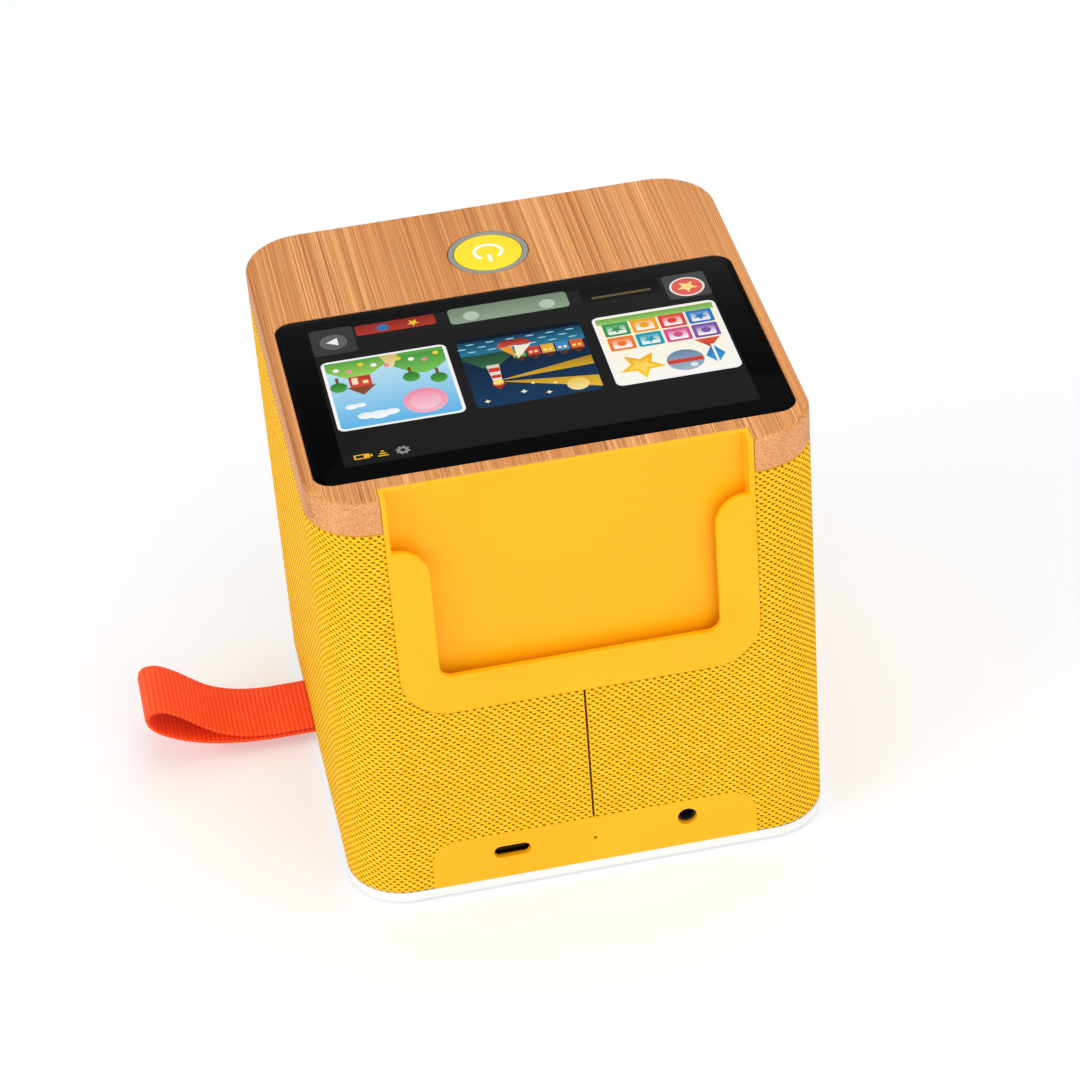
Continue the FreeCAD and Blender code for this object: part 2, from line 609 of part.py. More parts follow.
# Moulded case: four walls and a deck, a slotted grille in front of the loudspeaker,
# openings for the card tray and the sockets, posts for the base screws and a slot for the strap.
def make_case():
    body = new_body("case_shell")
    sketch = new_sketch(body, offset="case_bottom")
    case_outline(sketch, "cloth")
    pad(body, sketch, "top_bottom - case_bottom")
    sketch = new_sketch(body, offset="case_bottom")
    case_outline(sketch, "cloth + wall")
    pocket(body, sketch, "deck_bottom - case_bottom", reverse=True)

    sketch = new_sketch(body, offset="case_bottom + base_rim")
    for x, y in posts:
        circle(sketch, x, y, "post_radius")
    pad(body, sketch, "deck_bottom - case_bottom - base_rim")
    sketch = new_sketch(body, offset="case_bottom + base_rim")
    for side in (-1, 1):
        for y in ("post_front_y", "-post_rear_y"):
            near, far = f"{side} * post_x", f"{side} * (inner_width / 2 + wall / 2)"
            low, high = (far, near) if side < 0 else (near, far)
            outline(sketch, [
                (low, f"{y} - post_rib / 2"),
                (high, f"{y} - post_rib / 2"),
                (high, f"{y} + post_rib / 2"),
                (low, f"{y} + post_rib / 2")])
    pad(body, sketch, "deck_bottom - case_bottom - base_rim")
    sketch = new_sketch(body, offset="case_bottom + base_rim")
    for x, y in posts:
        circle(sketch, x, y, "base_screw_radius + screw_gap")
    pocket(body, sketch, "base_screw_length", reverse=True)

    # Deck openings for the display module and for the tabs of its bracket
    sketch = new_sketch(body, offset="top_bottom")
    rectangle(sketch, "0", "glass_y", "lcd_width + 2 * lcd_gap", "lcd_depth + 2 * lcd_gap")
    pocket(body, sketch, "deck")
    sketch = new_sketch(body, offset="top_bottom")
    rectangle(sketch, "0", "glass_y", "tab_width + 2 * fit_gap",
              "lcd_depth + 2 * (lcd_gap + tab_reach + fit_gap)")
    pocket(body, sketch, "deck")
    sketch = new_sketch(body, offset="top_bottom")
    circle(sketch, "0", "button_y", "ring_radius + ring_flange + fit_gap")
    for x, y in deck_screws + both_sides("button_screw_x", "button_y"):
        circle(sketch, x, y, "screw_radius + screw_gap")
    pocket(body, sketch, "deck")

    # Tray opening, narrower in the wall than behind it, where the tray's flange lies
    sketch = new_sketch(body, "XZ_Plane", "-rear_inside")
    half = "tray_width / 2 + fit_gap"
    low = "tray_bottom - fit_gap"
    outline(sketch, [
        (f"-({half})", low, "tray_corner"),
        (half, low, "tray_corner"),
        (half, "top_bottom + wall"),
        (f"-({half})", "top_bottom + wall")])
    pocket(body, sketch, "2 * wall", reverse=True)
    sketch = new_sketch(body, "XZ_Plane", "-rear_inside")
    half = "tray_width / 2 + tray_flange + fit_gap"
    outline(sketch, [
        (f"-({half})", "deck_bottom - wall"),
        (half, "deck_bottom - wall"),
        (half, "top_bottom + wall"),
        (f"-({half})", "top_bottom + wall")])
    pocket(body, sketch, "2 * wall + fit_gap")

    # Opening for the socket panel
    sketch = new_sketch(body, "XZ_Plane", "-rear_inside")
    half = "panel_width / 2 - panel_step + fit_gap"
    high = "case_bottom + panel_height - panel_step + fit_gap"
    outline(sketch, [
        (f"-({half})", "case_bottom - wall"),
        (half, "case_bottom - wall"),
        (half, high, "panel_corner - panel_step"),
        (f"-({half})", high, "panel_corner - panel_step")])
    pocket(body, sketch, "2 * wall", reverse=True)

    # Slot for the strap
    sketch = new_sketch(body, "YZ_Plane", "-inner_width / 2")
    outline(sketch, [
        ("strap_y - strap_width / 2 - fit_gap", "case_bottom - wall"),
        ("strap_y + strap_width / 2 + fit_gap", "case_bottom - wall"),
        ("strap_y + strap_width / 2 + fit_gap", "case_bottom + strap_double + fit_gap"),
        ("strap_y - strap_width / 2 - fit_gap", "case_bottom + strap_double + fit_gap")])
    pocket(body, sketch, "2 * wall")

    # Grille: upright slots with round ends, each as long as its chord of the circle
    slots = int(2 * value_of("grille_radius") / value_of("grille_pitch"))
    slots -= 1 - slots % 2
    sketch = new_sketch(body, "XZ_Plane", "-inner_depth / 2")
    for i in range(slots):
        x = f"({i - slots // 2} * grille_pitch)"
        half = f"(sqrt(grille_radius ^ 2 - {x} ^ 2) - grille_slot / 4)"
        near, far = f"{x} - grille_slot / 2", f"{x} + grille_slot / 2"
        low, high = f"speaker_z - {half}", f"speaker_z + {half}"
        curve = "grille_slot * 0.45"
        outline(sketch, [(near, low, curve), (far, low, curve), (far, high, curve), (near, high, curve)])
    pocket(body, sketch, "2 * wall", reverse=False)

    sketch = new_sketch(body, "XZ_Plane", "-inner_depth / 2")
    for x, y in speaker_screws:
        circle(sketch, x, f"speaker_z + {y}", "screw_radius + screw_gap")
    pocket(body, sketch, "wall * 0.8", reverse=False)
    return body


speaker_screws = []
for quarter in range(4):
    turn = math.radians(45 + 90 * quarter)
    across = round(math.cos(turn), 6)
    up = round(math.sin(turn), 6)
    speaker_screws.append((f"{across} * speaker_screw_ring", f"{up} * speaker_screw_ring"))


def tray_outline(sketch, grow="0", corner="tray_corner", high="body_height"):
    half = f"(tray_width / 2 + {grow})"
    low = f"tray_bottom - {grow}"
    outline(sketch, [
        (f"-{half}", low, corner),
        (half, low, corner),
        (half, high),
        (f"-{half}", high)])


def panel_outline(sketch, shrink="0"):
    half = f"(panel_width / 2 - {shrink})"
    high = f"case_bottom + panel_height - {shrink}"
    outline(sketch, [
        (f"-{half}", "case_bottom"),
        (half, "case_bottom"),
        (half, high, f"panel_corner - {shrink}"),
        (f"-{half}", high, f"panel_corner - {shrink}")])


def make_cover():
    """Knitted sleeve round the case, cut out for the tray, the panel and the strap."""
    body = new_body("cloth_sleeve")
    sketch = new_sketch(body, offset="case_bottom")
    case_outline(sketch)
    case_outline(sketch, "cloth")
    pad(body, sketch, "top_bottom - case_bottom")
    sketch = new_sketch(body, "XZ_Plane", "-(rear + cloth)")
    tray_outline(sketch)
    pocket(body, sketch, "2 * cloth", reverse=True)
    sketch = new_sketch(body, "XZ_Plane", "-(rear + cloth)")
    panel_outline(sketch)
    pocket(body, sketch, "2 * cloth", reverse=True)
    sketch = new_sketch(body, "YZ_Plane", "-body_width / 2 + cloth")
    outline(sketch, [
        ("strap_y - strap_width / 2 - fit_gap", "case_bottom - wall"),
        ("strap_y + strap_width / 2 + fit_gap", "case_bottom - wall"),
        ("strap_y + strap_width / 2 + fit_gap", "case_bottom + strap_double + fit_gap"),
        ("strap_y - strap_width / 2 - fit_gap", "case_bottom + strap_double + fit_gap")])
    pocket(body, sketch, "2 * cloth")


# Card tray: a moulded pocket, open at the top. A card slides down behind the lip
# and shows through the window, whose shoulders are rounded.
def make_tray():
    body = new_body("card_tray")
    sketch = new_sketch(body, "XZ_Plane", "-tray_rear")
    tray_outline(sketch)
    pad(body, sketch, "tray_depth")
    sketch = new_sketch(body, "XZ_Plane", "-tray_rear")
    tray_outline(sketch, "tray_flange", "tray_corner + tray_flange", "top_bottom")
    pad(body, sketch, "tray_rear - rear_inside")

    # Space for the card, from the back wall to the lip
    card_half = "(tray_width / 2 - tray_rim)"
    sketch = new_sketch(body, "XZ_Plane", "-(tray_rear - tray_back)")
    outline(sketch, [
        (f"-{card_half}", "tray_bottom + tray_floor", "tray_corner - tray_rim"),
        (card_half, "tray_bottom + tray_floor", "tray_corner - tray_rim"),
        (card_half, "body_height + wall"),
        (f"-{card_half}", "body_height + wall")])
    pocket(body, sketch, "tray_depth - tray_back - lip_thickness", reverse=True)

    window_half = "(window_width / 2)"
    lip_top = "(tray_bottom + lip_height)"
    sill = "(tray_bottom + window_sill)"
    sketch = new_sketch(body, "XZ_Plane", "-(rear + lip_thickness)")
    outline(sketch, [
        (f"-{card_half}", lip_top),
        (f"-{window_half}", lip_top, "window_shoulder"),
        (f"-{window_half}", sill, "window_corner"),
        (window_half, sill, "window_corner"),
        (window_half, lip_top, "window_shoulder"),
        (card_half, lip_top),
        (card_half, "body_height + wall"),
        (f"-{card_half}", "body_height + wall")])
    pocket(body, sketch, "2 * lip_thickness", reverse=True)

    sketch = new_sketch(body, "XZ_Plane", "-(tray_rear + peg_length)")
    for x, z in reader_pegs:
        circle(sketch, x, z, "peg_radius")
    pad(body, sketch, "peg_length")

    body = new_body("card_reader_board")
    sketch = new_sketch(body, "XZ_Plane", "-(tray_rear + reader_thickness)")
    rectangle(sketch, "0", "reader_z", "reader_width", "reader_height", "reader_thickness")
    for x, z in reader_pegs:
        circle(sketch, x, z, "peg_radius + screw_gap")
    pad(body, sketch, "reader_thickness")




def make_panel():
    """Socket panel: an outer face level with the cloth and a block that fills the wall."""
    body = new_body("socket_panel")
    sketch = new_sketch(body, "XZ_Plane", "-(rear + cloth)")
    panel_outline(sketch)
    pad(body, sketch, "cloth")
    sketch = new_sketch(body, "XZ_Plane", "-(rear + cloth + wall)")
    panel_outline(sketch, "panel_step")
    pad(body, sketch, "wall")
    sketch = new_sketch(body, "XZ_Plane", "-(rear + cloth + wall)")
    rectangle(sketch, "usb_x", "usb_z", "usb_width + 2 * socket_gap", "usb_height + 2 * socket_gap",
              "usb_height / 2")
    circle(sketch, "jack_x", "jack_z", "jack_nose + socket_gap")
    circle(sketch, "0", "reset_z", "reset_hole")
    pocket(body, sketch, "2 * (cloth + wall)", reverse=True)


def make_boards():
    body = new_body("main_board")
    sketch = new_sketch(body, offset="board_bottom")
    rectangle(sketch, "0", "board_middle", "board_width", "board_length", "board_thickness")
    for x, y in board_screws:
        circle(sketch, x, y, "screw_radius + screw_gap")
    pad(body, sketch, "board_thickness")
    studs("board_screws", board_screws, [
        ("screw_radius", "case_bottom", "board_lift + board_thickness"),
        ("screw_head", "board_top", "screw_head_height")])

    body = new_body("processor_shield")
    sketch = new_sketch(body, offset="board_top")
    rectangle(sketch, "-board_width / 8", "board_middle", "board_width / 3", "board_length / 2")
    pad(body, sketch, "usb_height")

    body = new_body("board_connectors")
    sketch = new_sketch(body, offset="board_top")
    for x in ("board_width / 5", "board_width / 3"):
        rectangle(sketch, x, "board_middle + board_length / 8", "board_width / 12", "board_length / 12")
    pad(body, sketch, "jack_height")

    # Charging socket: a rounded sheet shell with a tongue on its rear wall
    body = new_body("usb_socket")
    sketch = new_sketch(body, "XZ_Plane", "-(socket_front + usb_length)")
    rectangle(sketch, "usb_x", "usb_z", "usb_width", "usb_height", "usb_height * 0.45")
    pad(body, sketch, "usb_length")
    sketch = new_sketch(body, "XZ_Plane", "-socket_front")
    rectangle(sketch, "usb_x", "usb_z", "usb_width - 2 * usb_skin", "usb_height - 2 * usb_skin",
              "usb_height * 0.45 - usb_skin")
    rectangle(sketch, "usb_x", "usb_z", "usb_width * 0.75", "usb_tongue")
    pocket(body, sketch, "usb_length - 3 * usb_skin")

    body = new_body("headphone_socket")
    sketch = new_sketch(body, "XZ_Plane", "-(board_rear + jack_depth)")
    outline(sketch, [
        ("jack_x - jack_width / 2", "board_top"),
        ("jack_x + jack_width / 2", "board_top"),
        ("jack_x + jack_width / 2", "board_top + jack_height"),
        ("jack_x - jack_width / 2", "board_top + jack_height")])
    pad(body, sketch, "jack_depth")
    sketch = new_sketch(body, "XZ_Plane", "-board_rear")
    circle(sketch, "jack_x", "jack_z", "jack_nose")
    pad(body, sketch, "board_rear - socket_front")
    sketch = new_sketch(body, "XZ_Plane", "-socket_front")
    circle(sketch, "jack_x", "jack_z", "jack_bore")
    pocket(body, sketch, "jack_depth")

    # Reset switch: its pin is pushed through the pinhole with a needle
    pin_front = "(rear_inside + fit_gap)"
    switch_rear = f"({pin_front} + reset_length - reset_inside)"
    body = new_body("reset_switch")
    sketch = new_sketch(body, offset="board_top")
    rectangle(sketch, "0", f"{switch_rear} + reset_side / 2", "reset_side", "reset_side")
    pad(body, sketch, "reset_height")
    sketch = new_sketch(body, "XZ_Plane", f"-{switch_rear}")
    circle(sketch, "0", "reset_z", "reset_pin + reset_gap")
    pocket(body, sketch, "reset_inside + reset_travel + stop_gap")
    studs("reset_pin_actuator", [("0", "reset_z")],
          [("reset_pin", f"-({pin_front} + reset_length)", "reset_length")], "XZ_Plane")


def battery_outline(sketch, grow="0"):
    middle = "(case_bottom + battery_lift + battery_height / 2)"
    height = f"battery_height + 2 * ({grow})"
    rectangle(sketch, "battery_y", middle, f"battery_width + 2 * ({grow})", height, f"({height}) * 0.48")


# Base plate: the white rim that shows, a spigot inside the case, bosses for the case screws,
# studs for the boards and clamps, the battery cradle and the seat of the foot pad.
def make_base():
    body = new_body("base_plate")
    sketch = new_sketch(body, offset="foot_drop")
    case_outline(sketch)
    pad(body, sketch, "rim_height")
    round_edges(body, "base_edge_radius", flat_at("foot_drop"))

    spigot = "cloth + wall + fit_gap"
    sketch = new_sketch(body, offset="case_bottom")
    case_outline(sketch, spigot)
    case_outline(sketch, f"{spigot} + base_rim_thickness")
    pad(body, sketch, "base_rim - fit_gap")
    sketch = new_sketch(body, offset="case_bottom")
    half = "panel_width / 2 + fit_gap"
    outline(sketch, [
        (f"-({half})", "rear_inside - fit_gap"),
        (half, "rear_inside - fit_gap"),
        (half, "rear_inside + 2 * base_rim_thickness"),
        (f"-({half})", "rear_inside + 2 * base_rim_thickness")])
    left = "-inner_width / 2"
    outline(sketch, [
        (left, "strap_y - strap_bar_length / 2 - fit_gap"),
        (f"{left} + 2 * base_rim_thickness", "strap_y - strap_bar_length / 2 - fit_gap"),
        (f"{left} + 2 * base_rim_thickness", "strap_y + strap_bar_length / 2 + fit_gap"),
        (left, "strap_y + strap_bar_length / 2 + fit_gap")])
    pocket(body, sketch, "base_rim", reverse=True)

    sketch = new_sketch(body, offset="case_bottom")
    for x, y in posts:
        circle(sketch, x, y, "post_radius")
    pad(body, sketch, "base_rim")
    sketch = new_sketch(body, offset="case_bottom")
    for x, y in board_screws + clamp_screws:
        circle(sketch, x, y, "stud_radius")
    pad(body, sketch, "board_lift")
    sketch = new_sketch(body, offset="case_bottom")
    for x, y in strap_screws:
        circle(sketch, x, y, "stud_radius - fit_gap * 2")
    pad(body, sketch, "strap_double")

    sketch = new_sketch(body, offset="case_bottom")
    for side in (-1, 1):
        rectangle(sketch, f"{side} * cradle_x", "battery_y", "cradle_rib", "battery_width * 0.9")
    pad(body, sketch, "cradle_height")
    sketch = new_sketch(body, "YZ_Plane")
    battery_outline(sketch)
    pocket(body, sketch, "battery_length", midplane=True)
    return body


def make_base_holes(body):
    """Screw holes and the seat of the foot pad, cut from above and from below."""
    sketch = new_sketch(body, offset="foot_drop")
    for x, y in posts:
        circle(sketch, x, y, "base_counterbore")
    pocket(body, sketch, "base_counter_depth", reverse=True)
    sketch = new_sketch(body, offset="foot_drop")
    for x, y in posts:
        circle(sketch, x, y, "base_screw_radius + screw_gap")
    pocket(body, sketch, "rim_height + base_rim", reverse=True)
    sketch = new_sketch(body, offset="case_bottom + base_rim")
    for x, y in board_screws + clamp_screws + strap_screws:
        circle(sketch, x, y, "screw_radius + screw_gap")
    pocket(body, sketch, "base_rim")
    sketch = new_sketch(body, offset="foot_drop")
    rectangle(sketch, "0", "0", "foot_width + 2 * screw_gap", "foot_depth + 2 * screw_gap",
              "foot_corner + screw_gap")
    pocket(body, sketch, "foot_recess", reverse=True)


def make_base_fittings():
    body = new_body("foot_pad")
    sketch = new_sketch(body)
    rectangle(sketch, "0", "0", "foot_width", "foot_depth", "foot_corner")
    pad(body, sketch, "foot_drop + foot_recess")
    seat = "(foot_drop + base_counter_depth)"
    studs("base_screws", posts, [
        ("base_screw_head", f"{seat} - screw_head_height", "screw_head_height"),
        ("base_screw_radius", seat, "base_screw_length")])

    body = new_body("battery_pack")
    sketch = new_sketch(body, "YZ_Plane")
    battery_outline(sketch)
    pad(body, sketch, "battery_length", midplane=True)

    # Clamp bent round the battery, with two feet on the studs
    body = new_body("battery_clamp")
    low = "(case_bottom + board_lift)"
    high = "(case_bottom + battery_lift + battery_height + fit_gap)"
    inside = "(battery_width / 2 + fit_gap)"
    outside = f"({inside} + clamp_sheet)"
    reach = f"({outside} + clamp_foot)"
    bend = "battery_height * 0.45"
    sketch = new_sketch(body, "YZ_Plane")
    outline(sketch, [
        (f"battery_y - {reach}", low),
        (f"battery_y - {inside}", low),
        (f"battery_y - {inside}", high, bend),
        (f"battery_y + {inside}", high, bend),
        (f"battery_y + {inside}", low),
        (f"battery_y + {reach}", low),
        (f"battery_y + {reach}", f"{low} + clamp_sheet"),
        (f"battery_y + {outside}", f"{low} + clamp_sheet"),
        (f"battery_y + {outside}", f"{high} + clamp_sheet", f"{bend} + clamp_sheet"),
        (f"battery_y - {outside}", f"{high} + clamp_sheet", f"{bend} + clamp_sheet"),
        (f"battery_y - {outside}", f"{low} + clamp_sheet"),
        (f"battery_y - {reach}", f"{low} + clamp_sheet")])
    pad(body, sketch, "clamp_width", midplane=True)
    sketch = new_sketch(body, offset=low)
    for x, y in clamp_screws:
        circle(sketch, x, y, "screw_radius + screw_gap")
    pocket(body, sketch, "clamp_sheet", reverse=True)
    studs("clamp_screws", clamp_screws, [
        ("screw_radius", "case_bottom", "board_lift + clamp_sheet"),
        ("screw_head", f"{low} + clamp_sheet", "screw_head_height")])


# Loudspeaker, drawn about its own axis with the flange face at height zero,
# then turned to face the grille.
def make_speaker():
    floor = "(-basket_depth)"
    basket = turned("speaker_basket", [
        ("speaker_opening", "-basket_sheet"),
        ("speaker_opening", "0"),
        ("speaker_radius", "0"),
        ("speaker_radius", "-basket_sheet"),
        ("speaker_opening + basket_sheet", "-basket_sheet"),
        ("basket_floor + basket_sheet", f"{floor} + basket_sheet"),
        ("basket_floor + basket_sheet", floor),
        ("coil_radius + coil_wall + coil_gap", floor),
        ("coil_radius + coil_wall + coil_gap", f"{floor} + basket_sheet"),
        ("basket_floor", f"{floor} + basket_sheet")])
    sketch = new_sketch(basket, "XY_Plane", f"{floor} + basket_sheet")
    rectangle(sketch, "(basket_floor + speaker_opening) / 2 + basket_sheet", "0",
              "(speaker_opening - basket_floor) * 0.8", "basket_floor", "basket_sheet")
    window = pocket(basket, sketch, "basket_depth - 4 * basket_sheet", reverse=True)
    pattern = basket.newObject("PartDesign::PolarPattern", "basket_windows")
    pattern.Originals = [window]
    pattern.Axis = (sketch, ["N_Axis"])
    pattern.Angle = 360
    pattern.Occurrences = 4
    basket.Tip = pattern
    sketch = new_sketch(basket, "XY_Plane", "0")
    for x, y in speaker_screws:
        circle(sketch, x, y, "screw_radius + screw_gap")
    pocket(basket, sketch, "basket_sheet")

    gap_outside = "(coil_radius + coil_wall + coil_gap)"
    plate_bottom = f"({floor} - plate_thickness)"
    magnet_bottom = f"({plate_bottom} - magnet_height)"
    turned_pieces = [basket]
    turned_pieces.append(turned("speaker_top_plate", [
        (gap_outside, plate_bottom),
        ("magnet_radius", plate_bottom),
        ("magnet_radius", floor),
        (gap_outside, floor)]))
    turned_pieces.append(turned("speaker_magnet", [
        ("pole_radius * 1.5", magnet_bottom),
        ("magnet_radius + basket_sheet", magnet_bottom),
        ("magnet_radius + basket_sheet", plate_bottom),
        ("pole_radius * 1.5", plate_bottom)]))
    turned_pieces.append(turned("speaker_yoke", [
        ("0", f"{magnet_bottom} - plate_thickness"),
        ("magnet_radius", f"{magnet_bottom} - plate_thickness"),
        ("magnet_radius", magnet_bottom),
        ("pole_radius", magnet_bottom),
        ("pole_radius", floor),
        ("0", floor)]))

    # Moving pieces: former, cone and dust cap
    neck = "(coil_radius + coil_wall)"
    cone_edge = "(-cone_set)"
    neck_z = f"({cone_edge} - cone_depth)"
    turned_pieces.append(turned("voice_coil", [
        ("coil_radius", f"{neck_z} - coil_length + cone_paper"),
        (neck, f"{neck_z} - coil_length + cone_paper"),
        (neck, f"{neck_z} + cone_paper"),
        ("coil_radius", f"{neck_z} + cone_paper")]))
    turned_pieces.append(turned("speaker_cone", [
        (neck, neck_z),
        ("cone_radius", f"{cone_edge} - cone_paper"),
        ("cone_radius", cone_edge),
        (neck, f"{neck_z} + cone_paper")]))
    dome_low = f"({neck_z} + cone_depth * (dome_radius - {neck}) / (cone_radius - {neck}) + cone_paper)"
    turned_pieces.append(turned("dust_cap", [
        ("0", f"{dome_low} + dome_radius * 0.3"),
        ("dome_radius * 0.6", f"{dome_low} + dome_radius * 0.2"),
        ("dome_radius", dome_low),
        ("dome_radius", f"{dome_low} + cone_paper"),
        ("dome_radius * 0.6", f"{dome_low} + dome_radius * 0.2 + cone_paper"),
        ("0", f"{dome_low} + dome_radius * 0.3 + cone_paper")]))

    # Flexing pieces: a half roll round the cone, and a corrugated disc round the former
    roll_in = "(cone_radius + seat_gap)"
    roll_low = f"({cone_edge} - cone_paper)"
    basket_slope = "(speaker_opening - basket_floor) / (basket_depth - 2 * basket_sheet)"
    roll_out = f"(speaker_opening - seat_gap + ({roll_low} + basket_sheet) * {basket_slope})"
    roll_top = "(-basket_sheet / 2)"
    turned_pieces.append(turned("speaker_surround", [
        (roll_in, roll_low),
        (f"{roll_in} + ({roll_out} - {roll_in}) * 0.3", f"{roll_top} - cone_paper"),
        (f"{roll_out} - ({roll_out} - {roll_in}) * 0.3", f"{roll_top} - cone_paper"),
        (roll_out, roll_low),
        (roll_out, f"{roll_low} + cone_paper"),
        (f"{roll_out} - ({roll_out} - {roll_in}) * 0.25", roll_top),
        (f"{roll_in} + ({roll_out} - {roll_in}) * 0.25", roll_top),
        (roll_in, f"{roll_low} + cone_paper")]))
    spider_z = f"({floor} + spider_lift)"
    corners = []
    rings = 4
    for layer, order in ((0, range(rings + 1)), (1, range(rings, -1, -1))):
        for i in order:
            radius = f"{neck} + seat_gap + (spider_radius - {neck} - seat_gap) * {i} / {rings}"
            wave = 0.5 if i % 2 else -0.5
            corners.append((radius, f"{spider_z} + {wave} * spider_sheet + {layer} * spider_sheet"))
    turned_pieces.append(turned("speaker_spider", corners))

    turned_pieces.append(turned("speaker_gasket", [
        ("speaker_opening", "0"),
        ("speaker_radius", "0"),
        ("speaker_radius", "gasket"),
        ("speaker_opening", "gasket")]))
    sketch = new_sketch(pieces["speaker_gasket"], "XY_Plane", "gasket")
    for x, y in speaker_screws:
        circle(sketch, x, y, "screw_radius + screw_gap")
    pocket(pieces["speaker_gasket"], sketch, "gasket")
    turned_pieces.append(studs("speaker_screws", speaker_screws, [
        ("screw_head", "-basket_sheet - screw_head_height", "screw_head_height"),
        ("screw_radius", "-basket_sheet", "basket_sheet + gasket + wall * 0.7")]))

    facing = Rotation(Vector(1, 0, 0), -90)
    for body in turned_pieces:
        body.Placement = Placement(Vector(0, 0, 0), facing)
        body.setExpression("Placement.Base.y", tied("inner_depth / 2 - gasket"))
        body.setExpression("Placement.Base.z", tied("speaker_z"))


# Mid-line of the strap's loop as (distance from the case, height above the base rim).
# It leaves on the lower layer, turns over at the tip and comes back on the upper layer.
STRAP_LINE = [
    (12.0, 0.6),
    (20.0, 1.3),
    (28.0, 3.0),
    (35.0, 5.9),
    (40.6, 10.2),
    (42.4, 13.2),
    (40.4, 14.9),
    (36.0, 13.0),
    (31.0, 9.4),
    (26.0, 5.9),
    (19.0, 3.1),
    (12.0, 1.9),
]


def make_strap():
    """Webbing strap: the loop outside the case, its sewn end inside, and the bar that clamps it."""
    width = value_of("strap_width")
    layer = value_of("strap_layer")
    slack = value_of("strap_slack")
    low = value_of("case_bottom")
    side = -value_of("body_width") / 2
    root = side - value_of("strap_root") - layer - slack / 2
    near = value_of("strap_y") - width / 2

    def place(out, up):
        return Vector(side - out, near, low + up)

    middle = layer + slack / 2
    start = side - root
    line = [(start, layer / 2), (start + 4, layer / 2)]
    line += [(out, up - 0.6 + layer / 2) for out, up in STRAP_LINE[:-1]]
    line += [(STRAP_LINE[-1][0], layer * 1.5 + slack), (start + 4, layer * 1.5 + slack),
             (start, layer * 1.5 + slack)]
    spine = Part.BSplineCurve()
    spine.interpolate([place(*point) for point in line])
    steps = 44
    rails = []
    for hand in (-1, 1):
        points = []
        for i in range(steps + 1):
            at = spine.FirstParameter + (spine.LastParameter - spine.FirstParameter) * i / steps
            along = spine.tangent(at)[0]
            across = along.cross(Vector(0, 1, 0))
            points.append(spine.value(at) + across * (hand * layer / 2))
        rail = Part.BSplineCurve()
        rail.interpolate(points)
        rails.append(rail)
    edges = [arc.toShape() for rail in rails for arc in rail.toBiArcs(layer / 20)]
    edges.append(Part.LineSegment(rails[0].EndPoint, rails[1].EndPoint).toShape())
    edges.append(Part.LineSegment(rails[1].StartPoint, rails[0].StartPoint).toShape())
    band = Part.Face(Part.Wire(Part.__sortEdges__(edges)))
    loop = band.extrude(Vector(0, width, 0))
    knuckle = Part.makeCylinder(middle, width, Vector(root, near, low + middle), Vector(0, 1, 0))
    strap = doc.addObject("Part::Feature", "strap_loop")
    strap.Label = "strap_loop"
    strap.Shape = loop.fuse(knuckle).removeSplitter()
    pieces["strap_loop"] = strap

    body = new_body("strap_end")
    sketch = new_sketch(body, offset="case_bottom")
    rectangle(sketch, "-body_width / 2 + strap_inside / 2", "strap_y", "strap_inside", "strap_width")
    pad(body, sketch, "strap_double")

    body = new_body("strap_clamp")
    sketch = new_sketch(body, offset="case_bottom + strap_double")
    bar_corner = "strap_bar_width / 4"
    rectangle(sketch, "strap_bar_x", "strap_y", "strap_bar_width", "strap_bar_length", bar_corner)
    for x, y in strap_screws:
        circle(sketch, x, y, "screw_radius + screw_gap")
    pad(body, sketch, "strap_bar")
    studs("strap_screws", strap_screws, [
        ("screw_radius", "case_bottom", "strap_double + strap_bar"),
        ("screw_head", "case_bottom + strap_double + strap_bar", "screw_head_height")])


def make_deck_screws():
    studs("deck_screws", deck_screws, [
        ("screw_head", "deck_bottom - screw_head_height", "screw_head_height"),
        ("screw_radius", "deck_bottom", "deck + wood_bite - fit_gap")])


make_bamboo_top()
make_display()
make_button()
make_case()
make_deck_screws()
make_cover()
make_tray()
make_panel()
make_boards()
make_base_holes(make_base())
make_base_fittings()
make_speaker()
make_strap()
doc.recompute()

faults = [item.Label for item in doc.Objects if "Invalid" in item.State or "Error" in item.State]
for label, piece in pieces.items():
    if piece.Shape.isNull() or not piece.Shape.isValid() or not piece.Shape.Solids:
        faults.append(label)
if faults:
    raise RuntimeError("failed: " + ", ".join(faults))

os.makedirs("parts", exist_ok=True)
for label, piece in pieces.items():
    piece.Shape.exportStep(f"parts/{label}.step")
    box = piece.Shape.BoundBox
    print(f"{label:22s} solids {len(piece.Shape.Solids)} volume {piece.Shape.Volume:10.1f}",
          f"x {box.XMin:7.2f} {box.XMax:7.2f} y {box.YMin:7.2f} {box.YMax:7.2f}",
          f"z {box.ZMin:7.2f} {box.ZMax:7.2f}")
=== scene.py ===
import math

import bmesh
import bpy
from mathutils import Matrix, Vector


